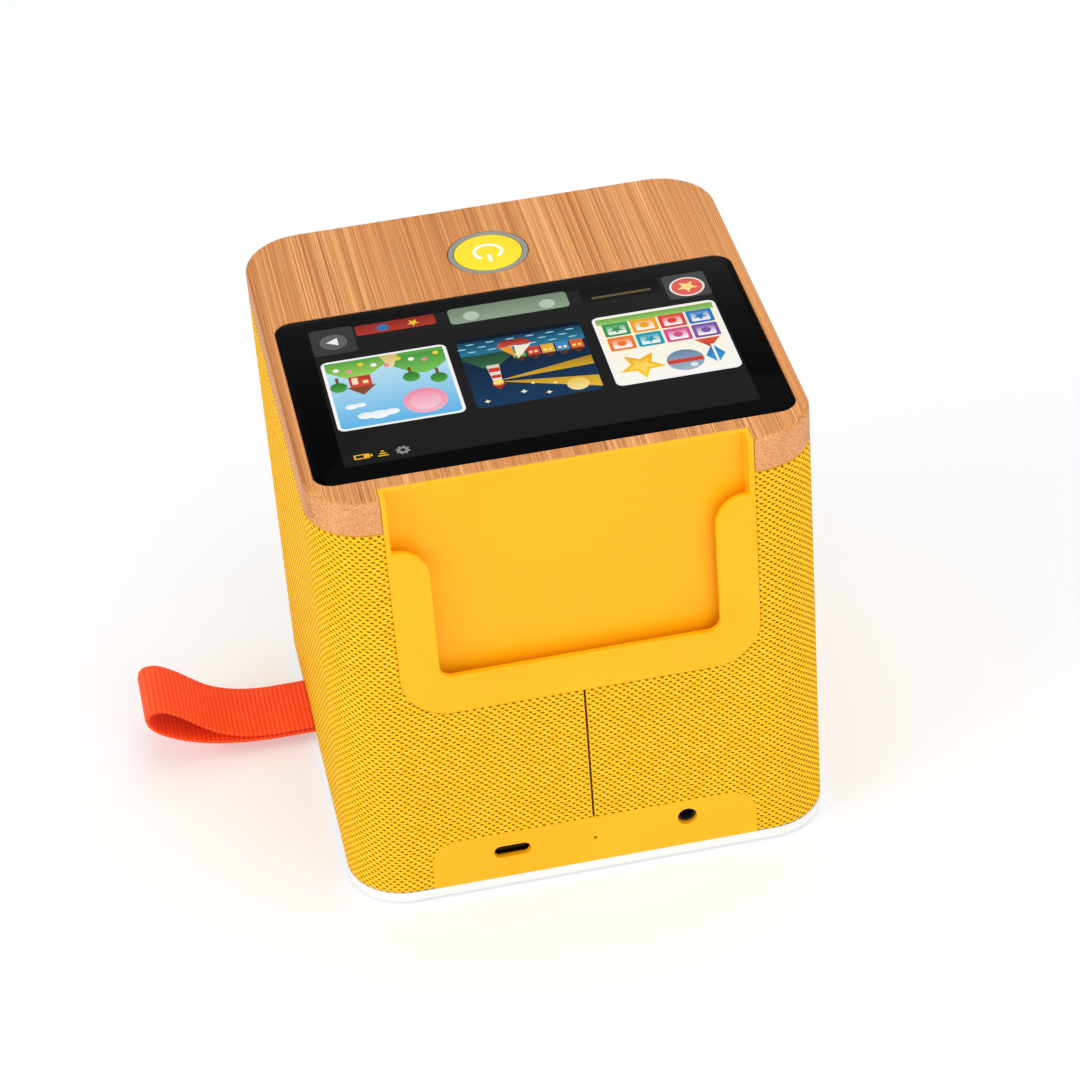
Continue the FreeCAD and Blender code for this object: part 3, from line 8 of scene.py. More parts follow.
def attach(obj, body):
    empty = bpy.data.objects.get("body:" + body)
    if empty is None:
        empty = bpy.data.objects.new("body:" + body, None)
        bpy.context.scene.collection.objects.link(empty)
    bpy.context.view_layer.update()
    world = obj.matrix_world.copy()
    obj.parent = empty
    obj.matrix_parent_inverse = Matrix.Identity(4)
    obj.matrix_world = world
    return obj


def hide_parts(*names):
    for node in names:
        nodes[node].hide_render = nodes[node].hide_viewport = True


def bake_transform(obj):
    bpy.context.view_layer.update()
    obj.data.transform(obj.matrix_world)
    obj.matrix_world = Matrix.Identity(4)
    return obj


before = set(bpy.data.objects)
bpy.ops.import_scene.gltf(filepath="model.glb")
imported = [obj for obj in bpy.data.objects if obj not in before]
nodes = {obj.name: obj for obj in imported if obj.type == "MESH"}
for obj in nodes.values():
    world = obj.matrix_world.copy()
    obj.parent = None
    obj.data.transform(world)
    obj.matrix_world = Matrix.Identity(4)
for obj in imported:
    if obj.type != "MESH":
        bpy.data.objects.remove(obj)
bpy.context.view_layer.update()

scene = bpy.context.scene

# ---- The view: the player stands on a pale table in a soft studio light, turned a little,
# and is looked down on from the side with the card pocket. The camera's lens, place and turn
# are fitted to the case's corners in the photograph.


def put(name, data):
    """Puts a new object with this data into the scene."""
    made = bpy.data.objects.new(name, data)
    scene.collection.objects.link(made)
    return made


camera_data = bpy.data.cameras.new("camera")
camera_data.sensor_width = 36.0
camera_data.lens = 123.88
camera_data.clip_start = 0.05
camera = put("camera", camera_data)
to_right = Vector((0.97881535, -0.19383981, -0.06592908))
to_bottom = Vector((-0.16572007, -0.56095194, -0.81109172))
ahead = Vector((0.12023882, 0.8048348, -0.58119151))
camera.matrix_world = Matrix.Translation((-0.112516, -0.763492, 0.609705)) @ Matrix(
    (to_right, -to_bottom, -ahead)).transposed().to_4x4()
scene.camera = camera
scene.view_settings.view_transform = "Standard"

# ---- Table: a sheet of white acrylic, lit softly from below as for product pictures, wide enough to fill
# the view. Its own light keeps the shadows weak and the player's colours out of the white.
TABLE = 4.0


def linear(code):
    """sRGB hex colour as linear numbers."""
    shares = [int(code[i:i + 2], 16) / 255 for i in (0, 2, 4)]
    return [c / 12.92 if c <= 0.04045 else ((c + 0.055) / 1.055) ** 2.4 for c in shares] + [1.0]


def add(tree, kind, inputs=None, stops=None, to=None, **settings):
    """Adds a node with its settings and its links. An input is a value, a socket, or a node whose
    first output is taken; `to` is the socket that this node's own first output goes to."""
    made = tree.nodes.new("ShaderNode" + kind)
    for name, value in settings.items():
        setattr(made, name, value)
    for key, value in (inputs or {}).items():
        if isinstance(value, bpy.types.Node):
            value = value.outputs[0]
        if isinstance(value, bpy.types.NodeSocket):
            tree.links.new(value, made.inputs[key])
        else:
            made.inputs[key].default_value = value
    for i, (place, code) in enumerate(stops or []):
        stop = made.color_ramp.elements[i] if i < 2 else made.color_ramp.elements.new(place)
        stop.position = place
        stop.color = linear(code)
    if to is not None:
        tree.links.new(made.outputs[0], to)
    return made


def substance(name, colour, roughness, **more):
    """Material with its tree, its shader and the place on the piece in millimetres."""
    made = bpy.data.materials.new(name)
    made.use_nodes = True
    tree = made.node_tree
    shader = tree.nodes["Principled BSDF"]
    shader.inputs["Base Color"].default_value = linear(colour)
    shader.inputs["Roughness"].default_value = roughness
    for socket, value in more.items():
        shader.inputs[socket.replace("_", " ")].default_value = value
    place = add(tree, "TexCoord")
    mm = add(tree, "VectorMath", {0: place.outputs["Object"], 3: 1000.0}, operation="SCALE")
    return made, tree, shader, mm


# White acrylic: nearly matt, a touch cooler than the light, with a glow of its own
made, tree, shader, mm = substance("acrylic_sheet_white", "CCCED1", 0.6, Specular_IOR_Level=0.2,
                                    Emission_Strength=0.32, Emission_Color=linear("FFFFFF"))
grain = add(tree, "TexNoise", {"Vector": mm, "Scale": 0.6, "Detail": 4.0})
add(tree, "Bump", {"Height": grain, "Strength": 0.05, "Distance": 0.0002}, to=shader.inputs["Normal"])
table_shape = bpy.data.meshes.new("table")
table_shape.from_pydata([(-TABLE, -TABLE, 0), (TABLE, -TABLE, 0), (TABLE, TABLE, 0), (-TABLE, TABLE, 0)], [],
                        [(0, 1, 2, 3)])
table_shape.materials.append(made)
table = put("table", table_shape)

# ---- Light: square softboxes aimed at the middle of the player, as metres and watts, in a pale studio.
# The strongest stand overhead, on the card side and far out on the left, the weaker ones right and behind.
PLAYER_MIDDLE = Vector((0, 0, 0.06))
for name, place, size, watts in (
        ("softbox_above", (0.25, -0.1, 1.5), 1.3, 7.5),
        ("softbox_card_side", (0.55, -1.5, 0.75), 1.2, 8.8),
        ("softbox_left", (-1.4, -0.5, 0.7), 1.0, 13.0),
        ("softbox_right", (1.4, -0.4, 0.9), 1.2, 3.0),
        ("softbox_behind", (0.4, 0.9, 1.6), 1.2, 3.0)):
    lamp_data = bpy.data.lights.new(name, "AREA")
    lamp_data.shape = "SQUARE"
    lamp_data.size = size
    lamp_data.energy = watts
    lamp = put(name, lamp_data)
    lamp.location = place
    lamp.rotation_euler = (PLAYER_MIDDLE - Vector(place)).to_track_quat("-Z", "Y").to_euler()
world = bpy.data.worlds.new("studio")
world.use_nodes = True
walls = world.node_tree.nodes["Background"]
walls.inputs["Color"].default_value = linear("FFFFFF")
walls.inputs["Strength"].default_value = 0.55
scene.world = world

# ---- Bamboo top plate: laminated strips of bamboo that run front to rear, planed to 9 mm,
# milled for the glass, the button and the card pocket, rounded over and oiled.
# Sizes in millimetres; BELOW and ABOVE lie outside the plate, for cuts that go through it.
WIDTH, DEPTH, CORNER = 122.0, 126.0, 15.2
TOP, PLATE_FOOT, EDGE_ROUND = 122.0, 112.8, 1.4
BELOW, ABOVE = 110.0, 125.0
GLASS_WIDTH, GLASS_DEPTH, GLASS_CORNER, GLASS_Y = 115.6, 73.4, 4.7, -16.4
GLASS_FOOT, SEAT_GAP = 120.8, 0.15
BUTTON_Y, RING_BORE = 38.8, 10.4


def outline(width, depth, radius, steps=14):
    """Points of a rectangle with rounded corners, anticlockwise, in millimetres."""
    points = []
    for cx, cy, turn in ((1, -1, -90), (1, 1, 0), (-1, 1, 90), (-1, -1, 180)):
        for i in range(steps + 1):
            angle = math.radians(turn + 90 * i / steps)
            points.append((cx * (width / 2 - radius) + radius * math.cos(angle),
                           cy * (depth / 2 - radius) + radius * math.sin(angle)))
    return points


def disc(x, y, radius, count=28, squash=1.0):
    """Points of a circle, or of an ellipse when squashed."""
    return [(x + radius * math.cos(math.tau * i / count), y + squash * radius * math.sin(math.tau * i / count))
            for i in range(count)]


def skin(name, loops, around=False):
    """Closed form from loops of points in millimetres, capped at both ends unless it goes round."""
    form = bmesh.new()
    rows = [[form.verts.new([c * 0.001 for c in point]) for point in loop] for loop in loops]
    count = len(rows[0])
    pairs = list(zip(rows, rows[1:]))
    if around:
        pairs.append((rows[-1], rows[0]))
    for low, high in pairs:
        for i in range(count):
            j = (i + 1) % count
            form.faces.new((low[i], low[j], high[j], high[i]))
    if not around:
        form.faces.new(rows[0][::-1])
        form.faces.new(rows[-1])
    bmesh.ops.recalc_face_normals(form, faces=form.faces)
    shape = bpy.data.meshes.new(name)
    form.to_mesh(shape)
    form.free()
    return put(name, shape)


def plan_stack(name, rows, width, depth, radius, centre=(0, 0), around=False):
    """Rounded form from rows of (inset, height)."""
    loops = []
    for inset, height in rows:
        flat = outline(width - 2 * inset, depth - 2 * inset, max(radius - inset, 0.05))
        loops.append([(x + centre[0], y + centre[1], height) for x, y in flat])
    return skin(name, loops, around)


def slab(points, low, high, axis="Z"):
    """Straight block from an outline: in plan, or seen from the card side when the axis is Y."""
    if axis == "Z":
        loops = [[(x, y, level) for x, y in points] for level in (low, high)]
    else:
        loops = [[(x, level, z) for x, z in points] for level in (high, low)]
    return skin("block", loops)


def settle(piece):
    """Turns the piece's modifiers into its mesh."""
    view = bpy.context.evaluated_depsgraph_get()
    shape = bpy.data.meshes.new_from_object(piece.evaluated_get(view))
    piece.modifiers.clear()
    old, piece.data = piece.data, shape
    bpy.data.meshes.remove(old)


def work(piece, tools, operation="DIFFERENCE"):
    """Cuts the tools out of the piece, or joins them to it."""
    for tool in tools:
        step = piece.modifiers.new("step", "BOOLEAN")
        step.operation = operation
        step.solver = "EXACT"
        step.object = tool
    settle(piece)
    for tool in tools:
        bpy.data.meshes.remove(tool.data)


def ease(piece, width, segments=3, angle=32):
    """Breaks the piece's edges to the width in millimetres and smooths its shading."""
    bevel = piece.modifiers.new("edges", "BEVEL")
    bevel.width = width * 0.001
    bevel.segments = segments
    bevel.limit_method = "ANGLE"
    bevel.angle_limit = math.radians(angle)
    bevel.use_clamp_overlap = True
    settle(piece)
    piece.data.shade_smooth()
    piece.data.set_sharp_from_angle(angle=math.radians(40))
    even = piece.modifiers.new("shading", "WEIGHTED_NORMAL")
    even.keep_sharp = True
    settle(piece)


def dress(piece, material, body, slot, *replaced):
    """Gives the piece its material, the body that it rides on and the nodes that it stands for."""
    piece.data.materials.clear()
    piece.data.materials.append(material)
    if body:
        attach(piece, body)
    if replaced:
        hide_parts(*replaced)


plate_rows = [(0.3, PLATE_FOOT), (0.0, PLATE_FOOT + 0.3)]
for i in range(9):
    turn = math.radians(90 * i / 8)
    plate_rows.append((EDGE_ROUND * (1 - math.cos(turn)), TOP - EDGE_ROUND * (1 - math.sin(turn))))
bamboo_plate = plan_stack("bamboo_plate", plate_rows, WIDTH, DEPTH, CORNER)
seat = [(x, y + GLASS_Y) for x, y in outline(GLASS_WIDTH + 2 * SEAT_GAP, GLASS_DEPTH + 2 * SEAT_GAP,
                                             GLASS_CORNER + SEAT_GAP)]
window = [(x, y + GLASS_Y) for x, y in outline(107.0, 68.0, 0.5, 2)]
bore = disc(0.0, BUTTON_Y, RING_BORE, 96)
notch = [(-44.35, -70), (44.35, -70), (44.35, -57.35), (-44.35, -57.35)]
work(bamboo_plate, [slab(seat, GLASS_FOOT, ABOVE), slab(window, BELOW, 121.5), slab(bore, BELOW, ABOVE),
                    slab(notch, BELOW, ABOVE)])
ease(bamboo_plate, 0.22, 2)

# Oiled bamboo: straight fibres seen as fine dark lines along the strips, and as dark dots about
# 0.55 mm apart where they end, on the card side and the listening side; a low satin gloss
STRIP = 5.4
made, tree, shader, mm = substance("bamboo_laminated_oiled", "CB8855", 0.5, Specular_IOR_Level=0.3)
parts = add(tree, "SeparateXYZ", {0: mm})
strip = add(tree, "Math", {0: parts.outputs["X"], 1: STRIP}, operation="DIVIDE")
strip = add(tree, "Math", {0: strip}, operation="FLOOR")
strip_tone = add(tree, "TexWhiteNoise", {"W": strip}, noise_dimensions="1D")
grain_place = add(tree, "VectorMath", {0: mm, 1: (1.0, 0.0018, 1.0)}, operation="MULTIPLY")
bands = add(tree, "TexNoise", {"Vector": grain_place, "Scale": 0.5, "Detail": 2.0})
fibres = add(tree, "TexNoise", {"Vector": grain_place, "Scale": 2.4, "Detail": 3.0, "Roughness": 0.65})
tone = add(tree, "Math", {0: strip_tone.outputs["Value"], 1: 0.17}, operation="MULTIPLY")
tone = add(tree, "Math", {0: bands.outputs[0], 1: 0.26, 2: tone}, operation="MULTIPLY_ADD")
tone = add(tree, "Math", {0: fibres.outputs[0], 1: 1.02, 2: tone}, operation="MULTIPLY_ADD")
lines = add(tree, "TexNoise", {"Vector": grain_place, "Scale": 1.8, "Detail": 1.0})
lines = add(tree, "Math", {0: lines.outputs[0], 1: 0.5}, operation="SUBTRACT")
lines = add(tree, "Math", {0: lines}, operation="ABSOLUTE")
lines = add(tree, "MapRange", {0: lines, 1: 0.015, 2: 0.075, 3: 1.0, 4: 0.0})
broken = add(tree, "VectorMath", {0: mm, 1: (1.0, 0.012, 1.0)}, operation="MULTIPLY")
broken = add(tree, "TexNoise", {"Vector": broken, "Scale": 0.7, "Detail": 2.0})
broken = add(tree, "MapRange", {0: broken.outputs[0], 1: 0.38, 2: 0.6, 3: 0.25, 4: 0.7})
lines = add(tree, "Math", {0: lines, 1: broken}, operation="MULTIPLY")
hairs = add(tree, "TexNoise", {"Vector": grain_place, "Scale": 2.7, "Detail": 0.0})
hairs = add(tree, "Math", {0: hairs.outputs[0], 1: 0.5}, operation="SUBTRACT")
hairs = add(tree, "Math", {0: hairs}, operation="ABSOLUTE")
hairs = add(tree, "MapRange", {0: hairs, 1: 0.0, 2: 0.09, 3: 0.5, 4: 0.0})
lines = add(tree, "Math", {0: lines, 1: hairs}, operation="MAXIMUM")
along = add(tree, "ValToRGB", {0: tone}, stops=[(0.52, "C47A3D"), (0.72, "D99150"), (0.95, "F2B371")])
along = add(tree, "Mix", {0: lines, 6: along, 7: linear("86491E")}, data_type="RGBA")
end_dots = add(tree, "VectorMath", {0: mm, 1: (1.0, 0.03, 1.0)}, operation="MULTIPLY")
end_dots = add(tree, "TexVoronoi", {"Vector": end_dots, "Scale": 1.8})
end_dots = add(tree, "MapRange", {0: end_dots.outputs["Distance"], 1: 0.14, 2: 0.4, 3: 0.75, 4: 0.0})
ends = add(tree, "ValToRGB", {0: tone}, stops=[(0.5, "D08A54"), (0.95, "E6A46C")])
ends = add(tree, "Mix", {0: end_dots, 6: ends, 7: linear("9C5C2E")}, data_type="RGBA")
facing = add(tree, "NewGeometry")
facing = add(tree, "SeparateXYZ", {0: facing.outputs["Normal"]})
facing = add(tree, "Math", {0: facing.outputs["Y"]}, operation="ABSOLUTE")
end_share = add(tree, "MapRange", {0: facing, 1: 0.45, 2: 0.8, 3: 0.0, 4: 1.0})
bamboo_tone = add(tree, "Mix", {0: end_share, 6: along.outputs[2], 7: ends.outputs[2]}, data_type="RGBA")
tree.links.new(bamboo_tone.outputs[2], shader.inputs["Base Color"])
add(tree, "MapRange", {0: fibres, 1: 0.3, 2: 0.7, 3: 0.44, 4: 0.58}, to=shader.inputs["Roughness"])
relief = add(tree, "Math", {0: fibres.outputs[0], 1: lines}, operation="SUBTRACT")
add(tree, "Bump", {"Height": relief, "Strength": 0.3, "Distance": 0.00006}, to=shader.inputs["Normal"])
dress(bamboo_plate, made, "case", "bamboo", "bamboo_top")

# ---- Cover glass: 1.1 mm tempered glass, printed black behind, its edge ground and polished,
# bonded into its seat with the display module behind it.
GLASS_TOP = 121.9
glass_rows = [(0.25, GLASS_FOOT), (0.0, 121.05), (0.0, 121.6), (0.08, 121.8), (0.3, GLASS_TOP)]
cover_glass = plan_stack("cover_glass", glass_rows, GLASS_WIDTH, GLASS_DEPTH, GLASS_CORNER, (0, GLASS_Y))
cover_glass.data.shade_smooth()
cover_glass.data.set_sharp_from_angle(angle=math.radians(50))

# Black-printed glass: nearly black with a hard clear gloss, a shade lighter where the display is lit,
# and faint finger marks that only the gloss shows
LIT_HALF_WIDTH, LIT_HALF_DEPTH = 50.0, 30.3
made, tree, shader, mm = substance("tempered_glass_printed", "020202", 0.1, IOR=1.5, Specular_IOR_Level=0.02,
                                    Emission_Strength=1.0)
parts = add(tree, "SeparateXYZ", {0: mm})
from_x = add(tree, "Math", {0: parts.outputs["X"]}, operation="ABSOLUTE")
inside_x = add(tree, "MapRange", {0: from_x, 1: LIT_HALF_WIDTH - 0.1, 2: LIT_HALF_WIDTH + 0.1, 3: 1.0, 4: 0.0})
from_y = add(tree, "Math", {0: parts.outputs["Y"], 1: -GLASS_Y}, operation="ADD")
from_y = add(tree, "Math", {0: from_y}, operation="ABSOLUTE")
inside_y = add(tree, "MapRange", {0: from_y, 1: LIT_HALF_DEPTH - 0.1, 2: LIT_HALF_DEPTH + 0.1, 3: 1.0, 4: 0.0})
lit = add(tree, "Math", {0: inside_x.outputs[0], 1: inside_y.outputs[0]}, operation="MULTIPLY")
glow = add(tree, "Mix", {0: lit, 6: linear("000000"), 7: linear("1B1B1B")}, data_type="RGBA")
tree.links.new(glow.outputs[2], shader.inputs["Emission Color"])
marks = add(tree, "TexNoise", {"Vector": mm, "Scale": 0.09, "Detail": 5.0, "Distortion": 0.6})
add(tree, "MapRange", {0: marks, 1: 0.35, 2: 0.7, 3: 0.06, 4: 0.14}, to=shader.inputs["Roughness"])
dress(cover_glass, made, "case", "cover_glass", "display_glass")

# Lit picture: what the display shows under the glass, as inlays a few hundredths of a millimetre high.
# It reads from the listening side: up is towards the card side, and right is towards -X.
INLAY_STEP, INLAY_DEPTH = 0.015, 0.05
picture = bmesh.new()
paint = picture.loops.layers.float_color.new("picture")


def tile(points, level, upper, lower=None):
    """Inlay from an outline of (right, up) in display millimetres, shaded from upper to lower colour."""
    upper, lower = linear(upper), linear(lower or upper)
    ups = [p[1] for p in points]
    top, foot = max(ups), min(ups)
    height = GLASS_TOP + INLAY_STEP * level

    def corner(point, z):
        return picture.verts.new((-point[0] * 0.001, (GLASS_Y - point[1]) * 0.001, z * 0.001))

    over = [corner(p, height) for p in points]
    under = [corner(p, GLASS_TOP - INLAY_DEPTH) for p in points]
    faces = [picture.faces.new(over), picture.faces.new(under[::-1])]
    for i in range(len(points)):
        j = (i + 1) % len(points)
        faces.append(picture.faces.new((over[i], under[i], under[j], over[j])))
    for face in faces:
        for loop in face.loops:
            share = (-loop.vert.co.y * 1000 + GLASS_Y - foot) / max(top - foot, 1e-6)
            share = min(max(share, 0.0), 1.0)
            loop[paint] = [a * share + b * (1 - share) for a, b in zip(upper, lower)]


def frame_of(right, up, width, height, radius):
    """Outline of a box with rounded corners round a place on the display."""
    return [(x + right, y + up) for x, y in outline(width, height, radius, 5)]


def star(right, up, radius, points=5):
    """Outline of a star, one point up."""
    corners = []
    for i in range(2 * points):
        reach = radius if i % 2 == 0 else radius * 0.45
        angle = math.radians(90 + 180 * i / points)
        corners.append((right + reach * math.cos(angle), up + reach * math.sin(angle)))
    return corners


def hill(left, right, foot, middle, rise, width):
    """Ground line of a hill, closed at the foot."""
    line = [(left, foot), (right, foot)]
    for i in range(17):
        at = right + (left - right) * i / 16
        line.append((at, foot + rise * math.exp(-((at - middle) / width) ** 2) + 1.2))
    return line


# Left tile as read: building blocks, a star, a ball and a kite on a pale ground
tile(frame_of(-34.0, -0.6, 31.0, 31.5, 1.8), 1, "F8F8F6")
tile(frame_of(-34.0, -0.6, 29.4, 29.9, 1.2), 2, "FCFBF4", "FFF3D2")
tile([(-48.7, -15.2), (-19.3, -15.2), (-19.3, -12.6), (-48.7, -12.6)], 3, "9CCB6A", "6FA84A")
for i, colour in enumerate(("2E7CC4", "E2453C", "F2A61E", "3A9A57", "7C56A8", "D9568C", "24A0B0", "F07A2A")):
    column, line = i % 4, i // 4
    right, up = -44.6 + 7.0 * column, -9.8 + 6.6 * line
    tile(frame_of(right, up, 6.4, 6.0, 0.5), 3, colour)
    tile(frame_of(right, up, 4.6, 4.2, 0.4), 4, "FFFFFF", colour)
    tile(disc(right, up, 1.2, 18) if i % 3 else star(right, up, 1.8), 5, colour)
tile([(-47.2, 0.4), (-40.8, 0.4), (-44.0, 4.6)], 3, "C23A30", "E25A40")
tile(star(-26.2, 7.6, 6.0), 3, "FFD632", "F6A81C")
tile(star(-26.2, 7.6, 3.6), 4, "FFE678", "FFC63A")
tile(disc(-36.8, 8.4, 4.6), 3, "A3B7CB", "6C86A4")
tile([(-41.2, 7.8), (-32.4, 7.8), (-32.5, 9.4), (-41.1, 9.4)], 4, "D5402F")
tile(disc(-38.4, 11.0, 0.9, 16), 4, "E6EEF5")
tile([(-46.8, 8.0), (-44.4, 11.8), (-42.0, 8.0), (-44.4, 3.4)], 4, "3FA0D8", "2C6FC0")
tile([(-44.7, 3.4), (-44.1, 3.4), (-44.1, 11.8), (-44.7, 11.8)], 5, "F4F4F0")

# Middle tile: a harbour at night, with a lighthouse and its beams, lit houses, a moon and a sailing boat
tile(frame_of(0.0, -0.8, 31.0, 31.5, 1.8), 1, "183A5E", "0A1626")
tile([(8.6, 4.6), (-15.3, 13.6), (-15.3, 8.6)], 2, "E8BE3A", "C89422")
tile([(8.6, 4.2), (-15.3, 3.4), (-15.3, -0.6)], 2, "D9A92C", "A87C1E")
tile(disc(-9.8, 11.0, 2.7), 3, "F8E6A0", "E9C04A")
for right, up, reach in ((-2.4, 12.6, 0.8), (3.4, 10.6, 0.9), (12.6, 12.4, 0.8), (-4.6, 9.0, 0.6), (0.6, 7.6, 0.6)):
    tile(star(right, up, reach, 4), 3, "FFF4C8")
tile(hill(1.5, 15.3, -9.0, 9.0, 6.4, 5.0), 3, "3A6B4A", "1E4432")
tile([(7.0, -3.0), (10.2, -3.0), (9.7, 4.0), (7.5, 4.0)], 4, "F4F0E6", "D8D2C4")
tile([(7.2, -1.6), (10.0, -1.6), (9.9, 0.2), (7.3, 0.2)], 5, "D33A2C")
tile([(7.4, 1.6), (9.8, 1.6), (9.7, 3.0), (7.5, 3.0)], 5, "D33A2C")
tile(disc(8.6, 5.0, 1.3, 20), 5, "FFE26A")
tile([(6.8, 5.8), (10.4, 5.8), (8.6, 8.0)], 5, "B02C24")
for i, colour in enumerate(("E0622E", "3D8CC8", "E9B03A", "C8433A", "5AA46A")):
    right = -13.0 + 3.6 * i
    tile([(right - 1.6, -8.4), (right + 1.6, -8.4), (right + 1.6, -4.6), (right - 1.6, -4.6)], 4, colour)
    tile([(right - 1.9, -4.6), (right + 1.9, -4.6), (right, -2.6)], 4, "5A3226")
    tile(frame_of(right - 0.6, -6.0, 0.8, 0.9, 0.1), 5, "FFE98A")
    tile(frame_of(right + 0.7, -6.0, 0.8, 0.9, 0.1), 5, "FFE98A")
tile([(-15.4, -14.6), (15.4, -14.6), (15.4, -8.2), (-15.4, -8.2)], 3, "2E7C9E", "123C5A")
for line in range(3):
    for column in range(6):
        tile(disc(-12.6 + 5.0 * column + 2.2 * (line % 2), -10.0 - 1.7 * line, 1.1, 16, 0.22), 4, "9AD0DC")
tile([(-2.6, -10.2), (6.4, -10.2), (4.6, -12.8), (-1.0, -12.8)], 5, "D8472E", "8E2A1C")
tile([(2.0, -9.8), (2.0, -4.0), (-2.2, -9.8)], 6, "F6ECD4")
tile([(2.6, -9.8), (5.8, -9.8), (2.6, -5.2)], 6, "F29A34")

# Right tile as read: green hills under a bright sky, with a pink sun, a house, trees and flowers
tile(frame_of(33.6, -0.4, 31.0, 31.0, 1.8), 1, "F8F8F6")
tile(frame_of(33.6, -0.4, 29.4, 29.4, 1.2), 2, "62B6EA", "C4E8F4")
tile(disc(26.8, 7.4, 5.4), 3, "F7B6C6", "F08CA8")
tile(disc(26.8, 7.4, 3.8), 4, "FBCBD6", "F49CB4")
for right, up, reach in ((38.4, 10.2, 2.6), (41.6, 9.9, 2.1), (35.4, 9.8, 1.9), (44.4, 5.2, 1.6), (42.2, 5.0, 1.3)):
    tile(disc(right, up, reach, 24, 0.66), 3, "FFFFFF", "E2EFF8")
tile(hill(18.95, 48.25, -14.9, 25.0, 9.0, 8.0), 3, "7CC65A", "3F8F3C")
tile(hill(18.95, 48.25, -15.0, 41.0, 7.4, 7.0), 4, "A2D862", "57A443")
tile([(30.0, -15.0), (34.6, -15.0), (33.0, -9.6), (31.8, -9.6)], 5, "F2DFA8", "D9BC78")
tile([(38.0, -7.6), (43.4, -7.6), (43.4, -3.0), (38.0, -3.0)], 5, "E24C3E", "B8382E")
tile([(37.2, -3.0), (44.2, -3.0), (40.7, 0.8)], 6, "8A4E2C")
tile(frame_of(39.5, -4.8, 1.3, 1.3, 0.2), 6, "FFF0A8")
tile(frame_of(42.0, -5.6, 1.5, 2.9, 0.3), 6, "F4E2C0")
for right, up in ((22.0, -2.4), (28.4, -4.6), (46.2, -4.8)):
    tile([(right - 0.4, up - 3.4), (right + 0.4, up - 3.4), (right + 0.4, up), (right - 0.4, up)], 5, "7A5230")
    tile(disc(right, up + 0.9, 2.1, 22), 6, "4FA844", "2E7A34")
for i in range(9):
    right, up = 21.0 + 3.1 * i, -12.6 + 1.1 * ((i * 2) % 3)
    tile(disc(right, up, 0.75, 12), 6, ("F6D23C", "F48CA4", "FFFFFF")[i % 3])

# Next line of tiles, cut off by the lower edge, and two round keys in the lower corners
tile(frame_of(-28.2, -27.0, 20.0, 6.6, 1.0), 1, "1B1B1D", "101012")
tile(frame_of(-28.2, -25.6, 15.0, 0.9, 0.3), 2, "6B5A3A")
tile(frame_of(0.0, -27.4, 30.0, 7.2, 1.2), 1, "8FA48B", "74896F")
tile(disc(-9.6, -26.6, 2.0, 24), 2, "B8C7B4")
tile(disc(9.6, -26.6, 2.0, 24), 2, "B8C7B4")
tile(frame_of(28.4, -28.0, 20.0, 4.6, 0.8), 1, "B33A2E", "8E2C24")
tile(star(24.0, -27.8, 1.6), 2, "F2C33A")
tile(disc(31.6, -27.8, 1.5, 20), 2, "3F6FB0")
tile(frame_of(-44.6, -24.6, 10.8, 11.2, 1.0), 2, "4A4A4B")
tile(disc(-44.6, -24.0, 4.4), 3, "F2EFEA")
tile(disc(-44.6, -24.0, 3.9), 4, "E2645A")
tile(star(-44.6, -24.0, 2.7), 5, "FBE08A")
tile(frame_of(44.4, -25.0, 10.8, 11.8, 1.0), 2, "3B3B3C")
tile(disc(44.4, -24.6, 3.4), 3, "626364")
tile([(43.3, -22.9), (43.3, -26.3), (46.2, -24.6)], 4, "F0F0F0")

# Status signs in the upper corner: battery, waves and a gear wheel
tile(frame_of(45.4, 26.8, 3.8, 1.9, 0.3), 2, "F3B71E")
tile(frame_of(45.9, 26.8, 1.9, 1.1, 0.15), 3, "1D1D1D")
tile(frame_of(43.1, 26.8, 0.5, 0.9, 0.1), 2, "F3B71E")
for i in range(3):
    tile(frame_of(40.4, 25.9 + 0.9 * i, 0.8 + 0.9 * i, 0.42, 0.15), 2, "F3B71E")
gear = []
for i in range(32):
    angle = math.tau * i / 32
    reach = 1.75 if (i // 2) % 2 else 1.35
    gear.append((35.6 + reach * math.cos(angle), 26.8 + reach * math.sin(angle)))
tile(gear, 2, "8C8C8C")
tile(disc(35.6, 26.8, 0.62, 16), 3, "1D1D1D")
picture_shape = bpy.data.meshes.new("display_picture")
picture.to_mesh(picture_shape)
picture.free()
display_picture = put("display_picture", picture_shape)

# Lit pixels behind gloss: the light carries the colour, a fine grid of pixels 0.12 mm apart
# is drawn at 0.5 mm so that it shows at all
PIXELS_PER_MM = 2.0
made, tree, shader, mm = substance("display_pixels_lit", "020202", 0.1, IOR=1.5, Specular_IOR_Level=0.02,
                                    Emission_Strength=1.0)
stored = add(tree, "VertexColor", layer_name="picture")
pixel = add(tree, "TexChecker", {"Vector": mm, "Scale": PIXELS_PER_MM, "Color1": (1, 1, 1, 1),
                                 "Color2": (0.93, 0.93, 0.93, 1)})
lit_colour = add(tree, "Mix", {0: 1.0, 6: stored.outputs["Color"], 7: pixel.outputs["Color"]},
                 data_type="RGBA", blend_type="MULTIPLY")
tree.links.new(lit_colour.outputs[2], shader.inputs["Emission Color"])
dress(display_picture, made, "case", "display_module")

# ---- Power button: a turned grey ring pushed into the bamboo from below, and in it
# a moulded yellow cap that goes down by 0.6 mm.


